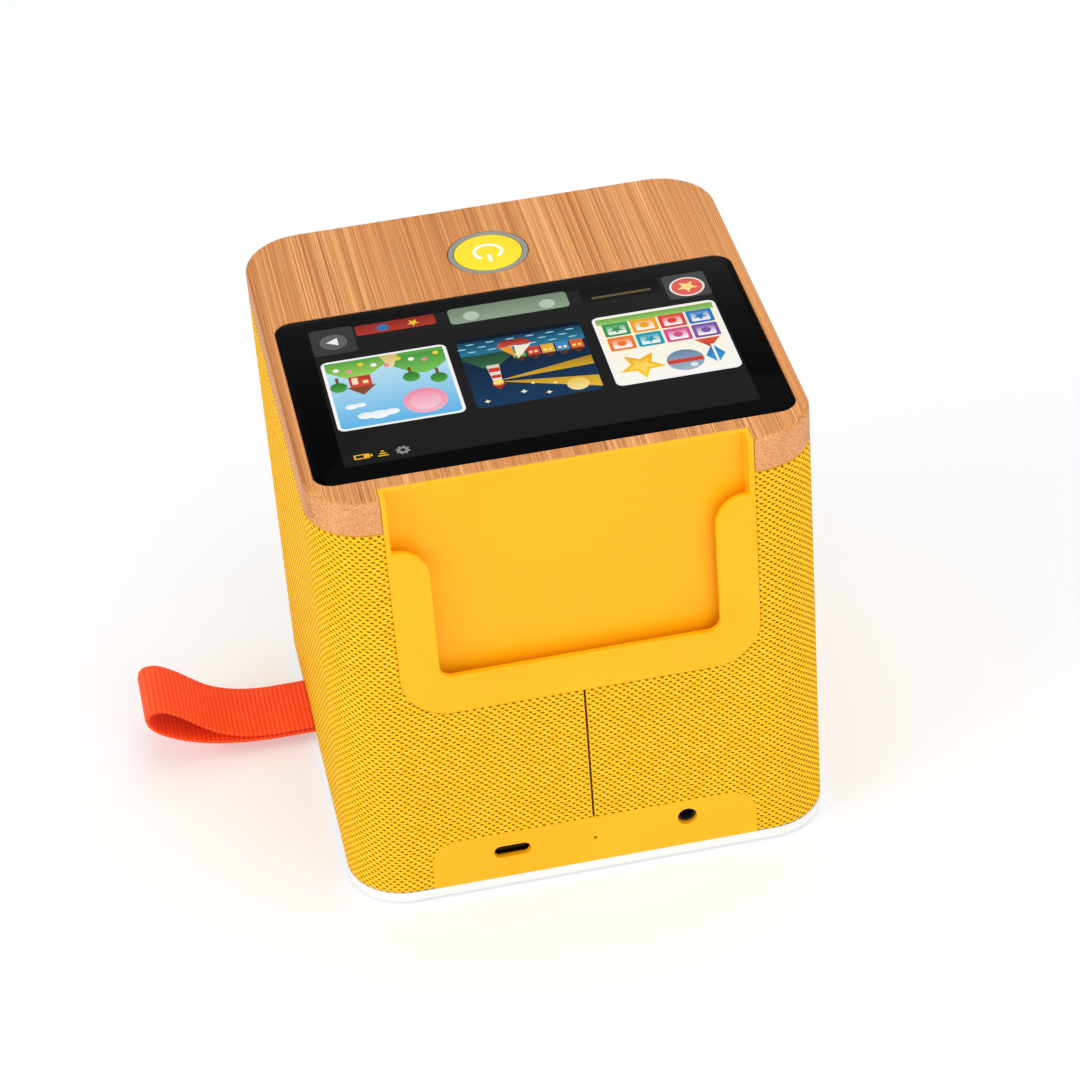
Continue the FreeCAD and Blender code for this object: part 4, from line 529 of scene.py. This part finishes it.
def turned(name, profile, count=96):
    """Form turned about the button's axis from (radius, height) in millimetres; a zero radius closes it."""
    form = bmesh.new()
    rings = []
    for radius, height in profile:
        if radius == 0:
            rings.append([form.verts.new((0.0, BUTTON_Y * 0.001, height * 0.001))])
        else:
            rings.append([form.verts.new((x * 0.001, y * 0.001, height * 0.001))
                          for x, y in disc(0.0, BUTTON_Y, radius, count)])
    whole = profile[0][0] != 0
    for a, b in list(zip(rings, rings[1:])) + ([(rings[-1], rings[0])] if whole else []):
        for i in range(count):
            j = (i + 1) % count
            if len(a) == 1:
                form.faces.new((a[0], b[i], b[j]))
            elif len(b) == 1:
                form.faces.new((a[i], a[j], b[0]))
            else:
                form.faces.new((a[i], a[j], b[j], b[i]))
    bmesh.ops.recalc_face_normals(form, faces=form.faces)
    shape = bpy.data.meshes.new(name)
    form.to_mesh(shape)
    form.free()
    shape.shade_smooth()
    shape.set_sharp_from_angle(angle=math.radians(38))
    return put(name, shape)


def mottle(tree, shader, mm, scale, detail, shades, grain=None):
    """Lets the colour waver between two shades, and the surface with it: grain is strength and depth in metres."""
    cloud = add(tree, "TexNoise", {"Vector": mm, "Scale": scale, "Detail": detail})
    add(tree, "ValToRGB", {0: cloud}, stops=[(0.3, shades[0]), (0.7, shades[1])], to=shader.inputs["Base Color"])
    if grain:
        add(tree, "Bump", {"Height": cloud, "Strength": grain[0], "Distance": grain[1]}, to=shader.inputs["Normal"])


button_ring = turned("button_ring_turned", [
    (8.83, 111.2), (12.7, 111.2), (12.7, 112.75), (10.3, 112.75), (10.3, 121.7), (10.15, 121.93), (9.9, 122.0),
    (9.15, 122.0), (8.95, 121.95), (8.83, 121.8), (8.83, 117.0), (6.0, 117.0), (6.0, 115.8), (8.83, 115.8)])

# Grey ABS: a finely sparked mould leaves it even and nearly matt
made, tree, shader, mm = substance("abs_grey_fine_matt", "8A8884", 0.42, IOR=1.5)
mottle(tree, shader, mm, 6.0, 3.0, ("7F7D79", "93918C"), (0.2, 0.00003))
dress(button_ring, made, "case", "grey_plastic", "button_ring")

button_cap = turned("button_cap_moulded", [
    (0, 115.0), (2.2, 115.0), (2.2, 120.4), (7.55, 120.4), (7.55, 117.8), (8.75, 117.8), (8.75, 121.55),
    (8.66, 121.8), (8.4, 121.95), (8.0, 121.99), (4.0, 122.0), (0, 122.0)])

# Lemon ABS: a clean satin skin with a light spark grain, as its polished mould leaves it
made, tree, shader, mm = substance("abs_lemon_satin", "EFD51A", 0.38, IOR=1.52, Specular_IOR_Level=0.25)
mottle(tree, shader, mm, 4.0, 4.0, ("EDD014", "F5DA1E"), (0.12, 0.00003))
dress(button_cap, made, "button", "yellow_plastic", "button_cap")

# Power sign, pad-printed white on the cap: an open ring with a bar in its gap
PRINT_FOOT, PRINT_TOP = 121.9, 122.03
sign_line = []
for side, reach in ((1, 3.9), (-1, 3.05)):
    angles = [math.radians(90 - side * (38 + 284 * i / 30)) for i in range(31)]
    sign_line += [(-reach * math.cos(a), BUTTON_Y - reach * math.sin(a)) for a in angles]
power_sign = slab(sign_line, PRINT_FOOT, PRINT_TOP)
bar = slab([(x, BUTTON_Y - y - 3.1) for x, y in outline(0.95, 3.6, 0.4, 4)], PRINT_FOOT, PRINT_TOP)
work(power_sign, [bar], "UNION")
power_sign.name = "power_sign"
made, tree, shader, mm = substance("pad_print_white", "FBFBF6", 0.5)
mottle(tree, shader, mm, 3.0, 3.0, ("F2F2EC", "FFFFFF"))
dress(power_sign, made, "button", "white_plastic")

# ---- Knitted cover: a polyester spacer knit with rows of small openings, wrapped round the case,
# joined edge to edge on the card side, and tucked in under the bamboo and over the base.
CLOTH_FOOT, CLOTH_TOP, CLOTH_THICK, TUCK = 3.65, 112.75, 1.38, 0.7
cloth_rows = [(0.55, CLOTH_FOOT), (0.15, CLOTH_FOOT + 0.2), (0.0, CLOTH_FOOT + TUCK)]
cloth_rows += [(0.0, CLOTH_FOOT + TUCK + (CLOTH_TOP - CLOTH_FOOT - 2 * TUCK) * i / 16) for i in range(1, 16)]
cloth_rows += [(0.0, CLOTH_TOP - TUCK), (0.15, CLOTH_TOP - 0.2), (0.55, CLOTH_TOP), (CLOTH_THICK, CLOTH_TOP),
               (CLOTH_THICK, CLOTH_FOOT)]
knit_cover = plan_stack("knit_cover", cloth_rows, WIDTH, DEPTH, CORNER, around=True)


def pocket_line(grow=0.0, radius=12.0, top=126.0, steps=16):
    """Outline of the card pocket seen from the card side, open upwards."""
    half, foot = 44.3 + grow, 57.5 - grow
    points = [(half, top), (-half, top)]
    for side, turn in ((-1, 180), (1, 270)):
        for i in range(steps + 1):
            angle = math.radians(turn + 90 * i / steps)
            points.append((side * (half - radius) + radius * math.cos(angle),
                           foot + radius + radius * math.sin(angle)))
    return points


def socket_line(shrink=0.0, foot=3.6, steps=10):
    """Outline of the socket panel seen from the card side."""
    half, top, radius = 41.3 - shrink, 17.5 - shrink, 7.0 - shrink
    points = [(-half, foot), (half, foot)]
    for side, turn in ((1, 0), (-1, 90)):
        for i in range(steps + 1):
            angle = math.radians(turn + 90 * i / steps)
            points.append((side * (half - radius) + radius * math.cos(angle),
                           top - radius + radius * math.sin(angle)))
    return points


# Planes seen from the card side: outside the case, and inside it beyond every wall
OUTSIDE, INSIDE = -70.0, -50.0
seam = [(-0.26, 12.0), (0.26, 12.0), (0.26, 62.0), (-0.26, 62.0)]
slot_line = [(-70, 7.2), (-55, 7.2), (-55, 27.8), (-70, 27.8)]
work(knit_cover, [slab(pocket_line(0.01, 12.0), OUTSIDE, INSIDE, "Y"),
                  slab(socket_line(-0.01, 0.0), OUTSIDE, INSIDE, "Y"),
                  slab(seam, -64, -62.1, "Y"), slab(slot_line, 0, 6.4)])
ease(knit_cover, 0.12, 2, 50)


STRAIGHT_X, STRAIGHT_Y, BEND = WIDTH / 2 - CORNER, DEPTH / 2 - CORNER, CORNER * math.pi / 2
HALF_ROUND = 2 * (STRAIGHT_X + BEND + STRAIGHT_Y)


def along_wall(x, y):
    """Way round the case from the middle of the card side to a place with x above 0, in millimetres."""
    if x <= STRAIGHT_X:
        return x if y < 0 else HALF_ROUND - x
    if abs(y) <= STRAIGHT_Y:
        return STRAIGHT_X + BEND + STRAIGHT_Y + y
    way = STRAIGHT_X + CORNER * math.atan2(x - STRAIGHT_X, abs(y) - STRAIGHT_Y)
    return way if y < 0 else HALF_ROUND - way


cloth_map = knit_cover.data.uv_layers.new(name="cloth")
for face in knit_cover.data.polygons:
    middle = face.center * 1000
    for corner in face.loop_indices:
        x, y, z = knit_cover.data.vertices[knit_cover.data.loops[corner].vertex_index].co * 1000
        if abs(middle.x) < STRAIGHT_X:
            way = x if middle.y < 0 else HALF_ROUND - x
        else:
            way = along_wall(abs(x), y) * (1 if middle.x > 0 else -1)
        cloth_map.data[corner].uv = (way, z)

# Yellow spacer knit: rows 0.87 mm apart of openings every 1.93 mm, each row shifted by half.
# The openings lie flat and are coloured dark brown as painted shade inside the holes; the yarn darkens
# towards them as painted shade, and between them it is bright with a soft sheen
made, tree, shader, mm = substance("polyester_spacer_knit", "F9BC22", 0.8, Specular_IOR_Level=0.06, Sheen_Weight=0.03,
                                    Sheen_Roughness=0.5, Sheen_Tint=linear("FFC030"))
OPENING, ROW = 2 * HALF_ROUND / 243, 0.874
HALF_LONG, HALF_HIGH, LEAN = 0.44, 0.25, 0.17
cloth_place = add(tree, "TexCoord")
uneven = add(tree, "TexNoise", {"Vector": mm, "Scale": 0.5, "Detail": 3.0})
shift = add(tree, "VectorMath", {0: uneven.outputs["Color"], 1: (0.5, 0.5, 0.5)}, operation="SUBTRACT")
shift = add(tree, "VectorMath", {0: shift, 3: 0.35}, operation="SCALE")
place = add(tree, "VectorMath", {0: cloth_place.outputs["UV"], 1: shift}, operation="ADD")
parts = add(tree, "SeparateXYZ", {0: place})
row_at = add(tree, "Math", {0: parts.outputs["Y"], 1: ROW}, operation="DIVIDE")
row_number = add(tree, "Math", {0: row_at}, operation="FLOOR")
odd = add(tree, "Math", {0: row_number, 1: 2.0}, operation="FLOORED_MODULO")
in_row = add(tree, "Math", {0: row_at}, operation="FRACT")
in_row = add(tree, "Math", {0: in_row, 1: 0.5}, operation="SUBTRACT")
stitch_at = add(tree, "Math", {0: parts.outputs["X"], 1: OPENING}, operation="DIVIDE")
stitch_at = add(tree, "Math", {0: odd, 1: 0.5, 2: stitch_at}, operation="MULTIPLY_ADD")
in_stitch = add(tree, "Math", {0: stitch_at}, operation="FRACT")
in_stitch = add(tree, "Math", {0: in_stitch, 1: 0.5}, operation="SUBTRACT")
flat_x = add(tree, "Math", {0: in_stitch, 1: OPENING / HALF_LONG}, operation="MULTIPLY")
lean = add(tree, "Math", {0: in_stitch, 1: OPENING * LEAN / HALF_HIGH}, operation="MULTIPLY")
flat_y = add(tree, "Math", {0: in_row, 1: ROW / HALF_HIGH, 2: lean}, operation="MULTIPLY_ADD")
reach = add(tree, "CombineXYZ", {0: flat_x, 1: flat_y, 2: 0.0})
reach = add(tree, "VectorMath", {0: reach}, operation="LENGTH")
opening_and_shade = add(tree, "MapRange", {0: reach.outputs["Value"], 1: 0.55, 2: 1.35, 3: 1.0, 4: 0.0},
              interpolation_type="SMOOTHSTEP")
# Painted shade: the yarn darkens towards each opening, where it curves down into the hole
painted_rim_shade = add(tree, "MapRange", {0: reach.outputs["Value"], 1: 0.8, 2: 2.1, 3: 0.35, 4: 0.0})
yarn = add(tree, "TexNoise", {"Vector": mm, "Scale": 1.5, "Detail": 4.0, "Roughness": 0.75})
yarn_tone = add(tree, "ValToRGB", {0: yarn.outputs[0]}, stops=[(0.28, "EFA50C"), (0.5, "FEC01E"), (0.72, "FFD848")])
yarn_tone = add(tree, "Mix", {0: painted_rim_shade, 6: yarn_tone, 7: linear("D9980C")}, data_type="RGBA")
# Painted shade: each opening is coloured dark brown for the shade inside the hole
knit_colour_and_hole_shade = add(tree, "Mix", {0: opening_and_shade, 6: yarn_tone.outputs[2], 7: linear("7A4E06")}, data_type="RGBA")
tree.links.new(knit_colour_and_hole_shade.outputs[2], shader.inputs["Base Color"])
hollow = add(tree, "Math", {0: opening_and_shade, 1: -1.0, 2: 1.0}, operation="MULTIPLY_ADD")
fluff = add(tree, "Math", {0: yarn.outputs[0], 1: 0.3, 2: hollow}, operation="MULTIPLY_ADD")
add(tree, "Bump", {"Height": fluff, "Strength": 0.7, "Distance": 0.00022}, to=shader.inputs["Normal"])
dress(knit_cover, made, "case", "knitted_cloth", "cloth_sleeve")

# Seam: the cover's two edges meet over a strip of dark brown tape, which shows as a fine line
seam_tape = slab([(-0.3, 16.9), (0.3, 16.9), (0.3, 58.4), (-0.3, 58.4)], -62.35, -61.62, "Y")
seam_tape.name = "seam_tape"
made, tree, shader, mm = substance("polyester_tape_brown", "4A2A10", 0.8)
thread = add(tree, "TexWave", {"Vector": mm, "Scale": 0.9}, bands_direction="Z")
add(tree, "ValToRGB", {0: thread.outputs[0]}, stops=[(0.2, "3B200B"), (0.8, "5C3717")],
    to=shader.inputs["Base Color"])
dress(seam_tape, made, "case", "knitted_cloth")

# ---- Card pocket: one ABS moulding with a back wall, a rim on each side and a lip in front.
# The card stands in the slot behind the lip and shows through the window, whose shoulders are round.
FACE, POCKET_BACK = -DEPTH / 2, -57.4
LIP_TOP, SILL, SHOULDER, SILL_CORNER = 106.6, 68.3, 8.0, 3.0
WINDOW_HALF, SLOT_HALF, SLOT_FOOT, SLOT_CORNER, OPEN_ABOVE = 34.4, 42.9, 59.5, 10.6, 127.0
card_pocket = slab(pocket_line(top=TOP), FACE, POCKET_BACK, "Y")
flange = slab(pocket_line(3.0, 15.0, PLATE_FOOT), -59.2, POCKET_BACK, "Y")
work(card_pocket, [flange], "UNION")


def arc(cx, cz, radius, start, sweep, steps=12):
    """Points of an arc, its angles in degrees."""
    return [(cx + radius * math.cos(math.radians(start + sweep * i / steps)),
             cz + radius * math.sin(math.radians(start + sweep * i / steps))) for i in range(steps + 1)]


right_half = [(SLOT_HALF, OPEN_ABOVE), (SLOT_HALF, LIP_TOP)]
right_half += arc(WINDOW_HALF + SHOULDER, LIP_TOP - SHOULDER, SHOULDER, 90, 90)
right_half += arc(WINDOW_HALF - SILL_CORNER, SILL + SILL_CORNER, SILL_CORNER, 0, -90, 6)
card_window = right_half + [(-x, z) for x, z in reversed(right_half)]
card_space = [(SLOT_HALF, OPEN_ABOVE)]
card_space += arc(SLOT_HALF - SLOT_CORNER, SLOT_FOOT + SLOT_CORNER, SLOT_CORNER, 0, -90)
card_space += arc(-SLOT_HALF + SLOT_CORNER, SLOT_FOOT + SLOT_CORNER, SLOT_CORNER, 270, -90)
card_space += [(-SLOT_HALF, OPEN_ABOVE)]
work(card_pocket, [slab(card_space, -61.2, -58.6, "Y"), slab(card_window, -66, -60.9, "Y")])
ease(card_pocket, 0.42, 3)

# Yellow ABS: through-coloured, satin from a finely sparked mould, a little glossier
# where the mould was polished by use; faint flow marks from the gate
made, tree, shader, mm = substance("abs_yellow_satin", "FFB307", 0.42, IOR=1.52, Specular_IOR_Level=0.25)
spark = add(tree, "TexNoise", {"Vector": mm, "Scale": 5.0, "Detail": 4.0, "Roughness": 0.6})
flow = add(tree, "TexNoise", {"Vector": mm, "Scale": 0.03, "Detail": 2.0})
add(tree, "ValToRGB", {0: flow.outputs[0]}, stops=[(0.3, "FFB005"), (0.7, "FFB60B")],
    to=shader.inputs["Base Color"])
add(tree, "MapRange", {0: flow, 1: 0.3, 2: 0.7, 3: 0.38, 4: 0.48}, to=shader.inputs["Roughness"])
add(tree, "Bump", {"Height": spark, "Strength": 0.15, "Distance": 0.00004}, to=shader.inputs["Normal"])
dress(card_pocket, made, "case", "yellow_plastic", "card_tray")
yellow_abs = made

# ---- Socket panel: an ABS cover of the same yellow, set in flush with the knit,
# with a slot for charging, a pinhole for the reset pin and a round hole for headphones.
socket_panel = slab(socket_line(), FACE, -61.6, "Y")
inner_step = slab(socket_line(2.0), -61.7, -59.2, "Y")
work(socket_panel, [inner_step], "UNION")
BOARD_TOP = 10.0
charge_hole = [(x - 21.0, z + BOARD_TOP + 1.6) for x, z in outline(9.3, 3.6, 1.75, 10)]
plug_hole = disc(23.6, BOARD_TOP + 2.4, 2.5, 48)
pin_hole = disc(0.0, BOARD_TOP + 0.9, 0.5, 20)
work(socket_panel, [slab(hole, -66, -55, "Y") for hole in (charge_hole, plug_hole, pin_hole)])
ease(socket_panel, 0.22, 2)
dress(socket_panel, yellow_abs, "case", "yellow_plastic", "socket_panel")

# ---- Base plate: white ABS, its rim seen all round under the cover, with the spigot and the
# screw bosses inside; the foot pad sits in a recess under it.


def coat(material, *names):
    """Gives the material to CAD nodes whose shape is right."""
    for name in names:
        nodes[name].data.materials.clear()
        nodes[name].data.materials.append(material)


# White ABS: a clean cool white, satin from a lightly sparked mould
made, tree, shader, mm = substance("abs_white_satin", "E9E9E7", 0.4, IOR=1.52, Specular_IOR_Level=0.3)
mottle(tree, shader, mm, 4.0, 4.0, ("E6E6E3", "EDEDEB"), (0.12, 0.00004))
coat(made, "base_plate", "case_shell", "battery_clamp", "strap_clamp")

# Silicone rubber: a dull pale grey that grips, slightly dusty in its pores
made, tree, shader, mm = substance("silicone_rubber_grey", "A9A8A2", 0.75)
mottle(tree, shader, mm, 1.6, 5.0, ("9C9B95", "B3B2AC"), (0.3, 0.0001))
coat(made, "foot_pad")

# ---- Strap: 20 mm nylon webbing, folded into a loop. Both ends are sewn together and clamped
# inside the case, so one layer leaves above the other and they part towards the round tip.
WEB_WIDTH, WEB_THICK, WEB_MIDDLE = 20.0, 1.2, 17.5
RIB, RIB_HEIGHT, EDGE_WAVE, PLACES_PER_RIB = 1.25, 0.09, 0.12, 6
strap_line = [(-48.6, 4.25), (-56.0, 4.25), (-62.5, 4.2), (-66.5, 4.2), (-73.0, 4.25), (-81.0, 4.9),
              (-89.0, 6.4), (-96.2, 9.0), (-101.6, 12.3), (-104.0, 15.7), (-103.0, 18.4), (-99.6, 18.7),
              (-95.2, 16.2), (-90.6, 12.4), (-86.0, 9.1), (-80.0, 6.75), (-73.0, 5.6), (-66.5, 5.5),
              (-62.5, 5.5), (-56.0, 5.5), (-48.6, 5.5)]


def smooth_line(points, step):
    """Evenly spaced places and directions on a smooth line through the points."""
    dense = []
    for i in range(len(points) - 1):
        a, b, c, d = (Vector(points[max(min(k, len(points) - 1), 0)]) for k in (i - 1, i, i + 1, i + 2))
        for k in range(40):
            t = k / 40
            dense.append(0.5 * ((2 * b) + (c - a) * t + (2 * a - 5 * b + 4 * c - d) * t ** 2
                                + (3 * b - a - 3 * c + d) * t ** 3))
    dense.append(Vector(points[-1]))
    ways = [0.0]
    for a, b in zip(dense, dense[1:]):
        ways.append(ways[-1] + (b - a).length)
    count = round(ways[-1] / step)
    even, k = [], 0
    for i in range(count + 1):
        way = ways[-1] * i / count
        while k < len(ways) - 2 and ways[k + 1] < way:
            k += 1
        share = (way - ways[k]) / max(ways[k + 1] - ways[k], 1e-9)
        even.append(dense[k].lerp(dense[k + 1], share))
    return even, ways[-1]


path, web_length = smooth_line(strap_line, RIB / PLACES_PER_RIB)
form = bmesh.new()
lay = form.loops.layers.uv.new("webbing")
# Round the webbing: from one edge to the other over the top, down, and back, as shares of half its size
section = [(-1 + 2 * i / 20, 1) for i in range(21)] + [(1.015, 0.45), (1.015, -0.45)]
section += [(1 - 2 * i / 20, -1) for i in range(21)] + [(-1.015, -0.45), (-1.015, 0.45)]
rings = []
for i, place in enumerate(path):
    before, after = path[max(i - 1, 0)], path[min(i + 1, len(path) - 1)]
    along = (after - before).normalized()
    up = Vector((-along.y, along.x))
    rise = 0.5 - 0.5 * math.cos(math.tau * i / PLACES_PER_RIB)
    ring = []
    for across, side in section:
        near_edge = max(0.0, abs(across) - 0.9) / 0.1
        half_thick = (WEB_THICK / 2 - RIB_HEIGHT * (1 - rise)) * (1 - 0.35 * near_edge ** 2)
        reach = math.copysign(WEB_WIDTH / 2 * min(abs(across), 1.0), across)
        if abs(across) > 0.97:
            reach += math.copysign(EDGE_WAVE * rise, across)
        spot = place + up * (side * half_thick)
        ring.append(form.verts.new((spot.x * 0.001, (WEB_MIDDLE + reach) * 0.001, spot.y * 0.001)))
    rings.append(ring)
for i, (a, b) in enumerate(zip(rings, rings[1:])):
    for j in range(len(section)):
        k = (j + 1) % len(section)
        face = form.faces.new((a[j], a[k], b[k], b[j]))
        for loop, (row, column) in zip(face.loops, ((i, j), (i, k), (i + 1, k), (i + 1, j))):
            loop[lay].uv = (row * RIB / PLACES_PER_RIB, section[column][0] * WEB_WIDTH / 2)
form.faces.new(rings[0][::-1])
form.faces.new(rings[-1])
bmesh.ops.recalc_face_normals(form, faces=form.faces)
shape = bpy.data.meshes.new("strap_webbing")
form.to_mesh(shape)
form.free()
shape.shade_smooth()
shape.set_sharp_from_angle(angle=math.radians(60))
strap_webbing = put("strap_webbing", shape)

# Nylon webbing: bright orange-red yarn, ribbed across every 1.25 mm, with the warp threads
# as fine lines along it; darker in the grooves between the ribs as painted shade, a slight silky sheen
WARP = 0.7
made, tree, shader, mm = substance("nylon_webbing_orange", "F4481F", 0.6, Specular_IOR_Level=0.2, Sheen_Weight=0.08,
                                    Sheen_Roughness=0.4, Sheen_Tint=linear("FF7040"))
web_place = add(tree, "TexCoord")
parts = add(tree, "SeparateXYZ", {0: web_place.outputs["UV"]})
rib_turn = add(tree, "Math", {0: parts.outputs["X"], 1: math.tau / RIB}, operation="MULTIPLY")
rib_wave = add(tree, "Math", {0: rib_turn}, operation="COSINE")
warp_turn = add(tree, "Math", {0: parts.outputs["Y"], 1: math.tau / WARP}, operation="MULTIPLY")
warp_wave = add(tree, "Math", {0: warp_turn}, operation="COSINE")
fray = add(tree, "TexNoise", {"Vector": mm, "Scale": 4.0, "Detail": 4.0, "Roughness": 0.7})
# Painted shade: the colour darkens in the grooves between the ribs, where the mesh is thinnest
weave_and_groove_shade = add(tree, "Math", {0: rib_wave, 1: -0.15, 2: fray.outputs[0]}, operation="MULTIPLY_ADD")
weave_and_groove_shade = add(tree, "Math", {0: warp_wave, 1: 0.1, 2: weave_and_groove_shade}, operation="MULTIPLY_ADD")
add(tree, "ValToRGB", {0: weave_and_groove_shade}, stops=[(0.1, "C42E0C"), (0.4, "FF4A1C"), (0.9, "FF7038")],
    to=shader.inputs["Base Color"])
add(tree, "Bump", {"Height": weave_and_groove_shade, "Strength": 0.5, "Distance": 0.00012}, to=shader.inputs["Normal"])
dress(strap_webbing, made, None, "webbing", "strap_loop", "strap_end")
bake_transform(strap_webbing)

# ---- Inside the case: brackets, boards, battery and loudspeaker, screwed to the case shell and the base.
# Only the sockets show with the case closed, and each piece keeps its CAD shape.

# Pressed sheet: zinc-plated steel, a dull bluish grey with a faint spangle
made, tree, shader, mm = substance("steel_zinc_plated", "B9BCBF", 0.38, Metallic=1.0)
spangle = add(tree, "TexVoronoi", {"Vector": mm, "Scale": 0.35})
add(tree, "ValToRGB", {0: spangle.outputs["Distance"]}, stops=[(0.1, "A9ADB1"), (0.8, "C6C8CA")],
    to=shader.inputs["Base Color"])
coat(made, "display_bracket", "speaker_basket", "speaker_top_plate", "speaker_yoke", "processor_shield")

# Charging socket: a drawn steel shell, coloured near black as painted shade so that the slot looks dark from outside
made, tree, shader, mm = substance("steel_shell_painted_shade", "2A231C", 0.5, Metallic=1.0)
draw_marks = add(tree, "VectorMath", {0: mm, 1: (1.0, 0.1, 1.0)}, operation="MULTIPLY")
draw_marks = add(tree, "TexNoise", {"Vector": draw_marks, "Scale": 3.0, "Detail": 3.0})
# Painted shade: these near-black shades stand in for the shadow deep inside the slot
add(tree, "ValToRGB", {0: draw_marks.outputs[0]}, stops=[(0.3, "221C16"), (0.7, "332A22")],
    to=shader.inputs["Base Color"])
coat(made, "usb_socket")

# Screws: cold-headed steel, zinc-plated, brighter than the sheet
made, tree, shader, mm = substance("screw_steel_zinc", "9FA2A6", 0.3, Metallic=1.0)
mottle(tree, shader, mm, 2.0, 3.0, ("8F9296", "B0B3B6"))
coat(made, "bracket_screws", "button_board_screws", "deck_screws", "board_screws", "base_screws", "clamp_screws",
     "strap_screws", "speaker_screws")

# Black mouldings: glass-filled nylon, matt with a fine grain
made, tree, shader, mm = substance("nylon_black_moulded", "17171A", 0.55)
mottle(tree, shader, mm, 3.0, 4.0, ("121214", "1E1E22"))
coat(made, "switch_actuator", "button_switch", "headphone_socket", "reset_switch", "reset_pin_actuator",
     "board_connectors", "lcd_module")

# Circuit boards: glass-fibre laminate under green solder mask, the tracks faintly lighter
made, tree, shader, mm = substance("circuit_laminate_green", "1F5A34", 0.35)
add(tree, "TexBrick", {"Vector": mm, "Scale": 0.5, "Color1": linear("1C5230"), "Color2": linear("236239"),
                       "Mortar": linear("2E7345"), "Mortar Size": 0.03}, to=shader.inputs["Base Color"])
coat(made, "button_board", "card_reader_board", "main_board")

# Battery: two cells in blue shrink film, glossy with slight ripples
made, tree, shader, mm = substance("shrink_film_blue", "1E4E8C", 0.25)
mottle(tree, shader, mm, 0.15, 3.0, ("1A4680", "245AA0"), (0.4, 0.0004))
coat(made, "battery_pack")

# Loudspeaker: sintered ferrite magnet, pressed paper cone and cap, rubber surround,
# resin-set cotton spider, copper wire on the coil, foam gasket
for name, shades, roughness, metallic, scale, wearers in (
        ("ferrite_sintered", ("2B2B2E", "3A3A3E"), 0.55, 0.0, 1.2, ("speaker_magnet",)),
        ("paper_pressed_black", ("1B1A19", "2A2826"), 0.85, 0.0, 1.5, ("speaker_cone", "dust_cap")),
        ("butyl_rubber_black", ("151515", "202020"), 0.6, 0.0, 0.8, ("speaker_surround",)),
        ("cotton_resin_set", ("9A7A3C", "B8944E"), 0.8, 0.0, 2.0, ("speaker_spider",)),
        ("copper_wire_lacquered", ("B06A3A", "C98450"), 0.3, 1.0, 3.0, ("voice_coil",)),
        ("foam_black", ("19191A", "29292B"), 0.95, 0.0, 2.5, ("speaker_gasket",))):
    made, tree, shader, mm = substance(name, shades[0], roughness, Metallic=metallic)
    mottle(tree, shader, mm, scale, 4.0, shades, (0.3, 0.0001))
    coat(made, *wearers)
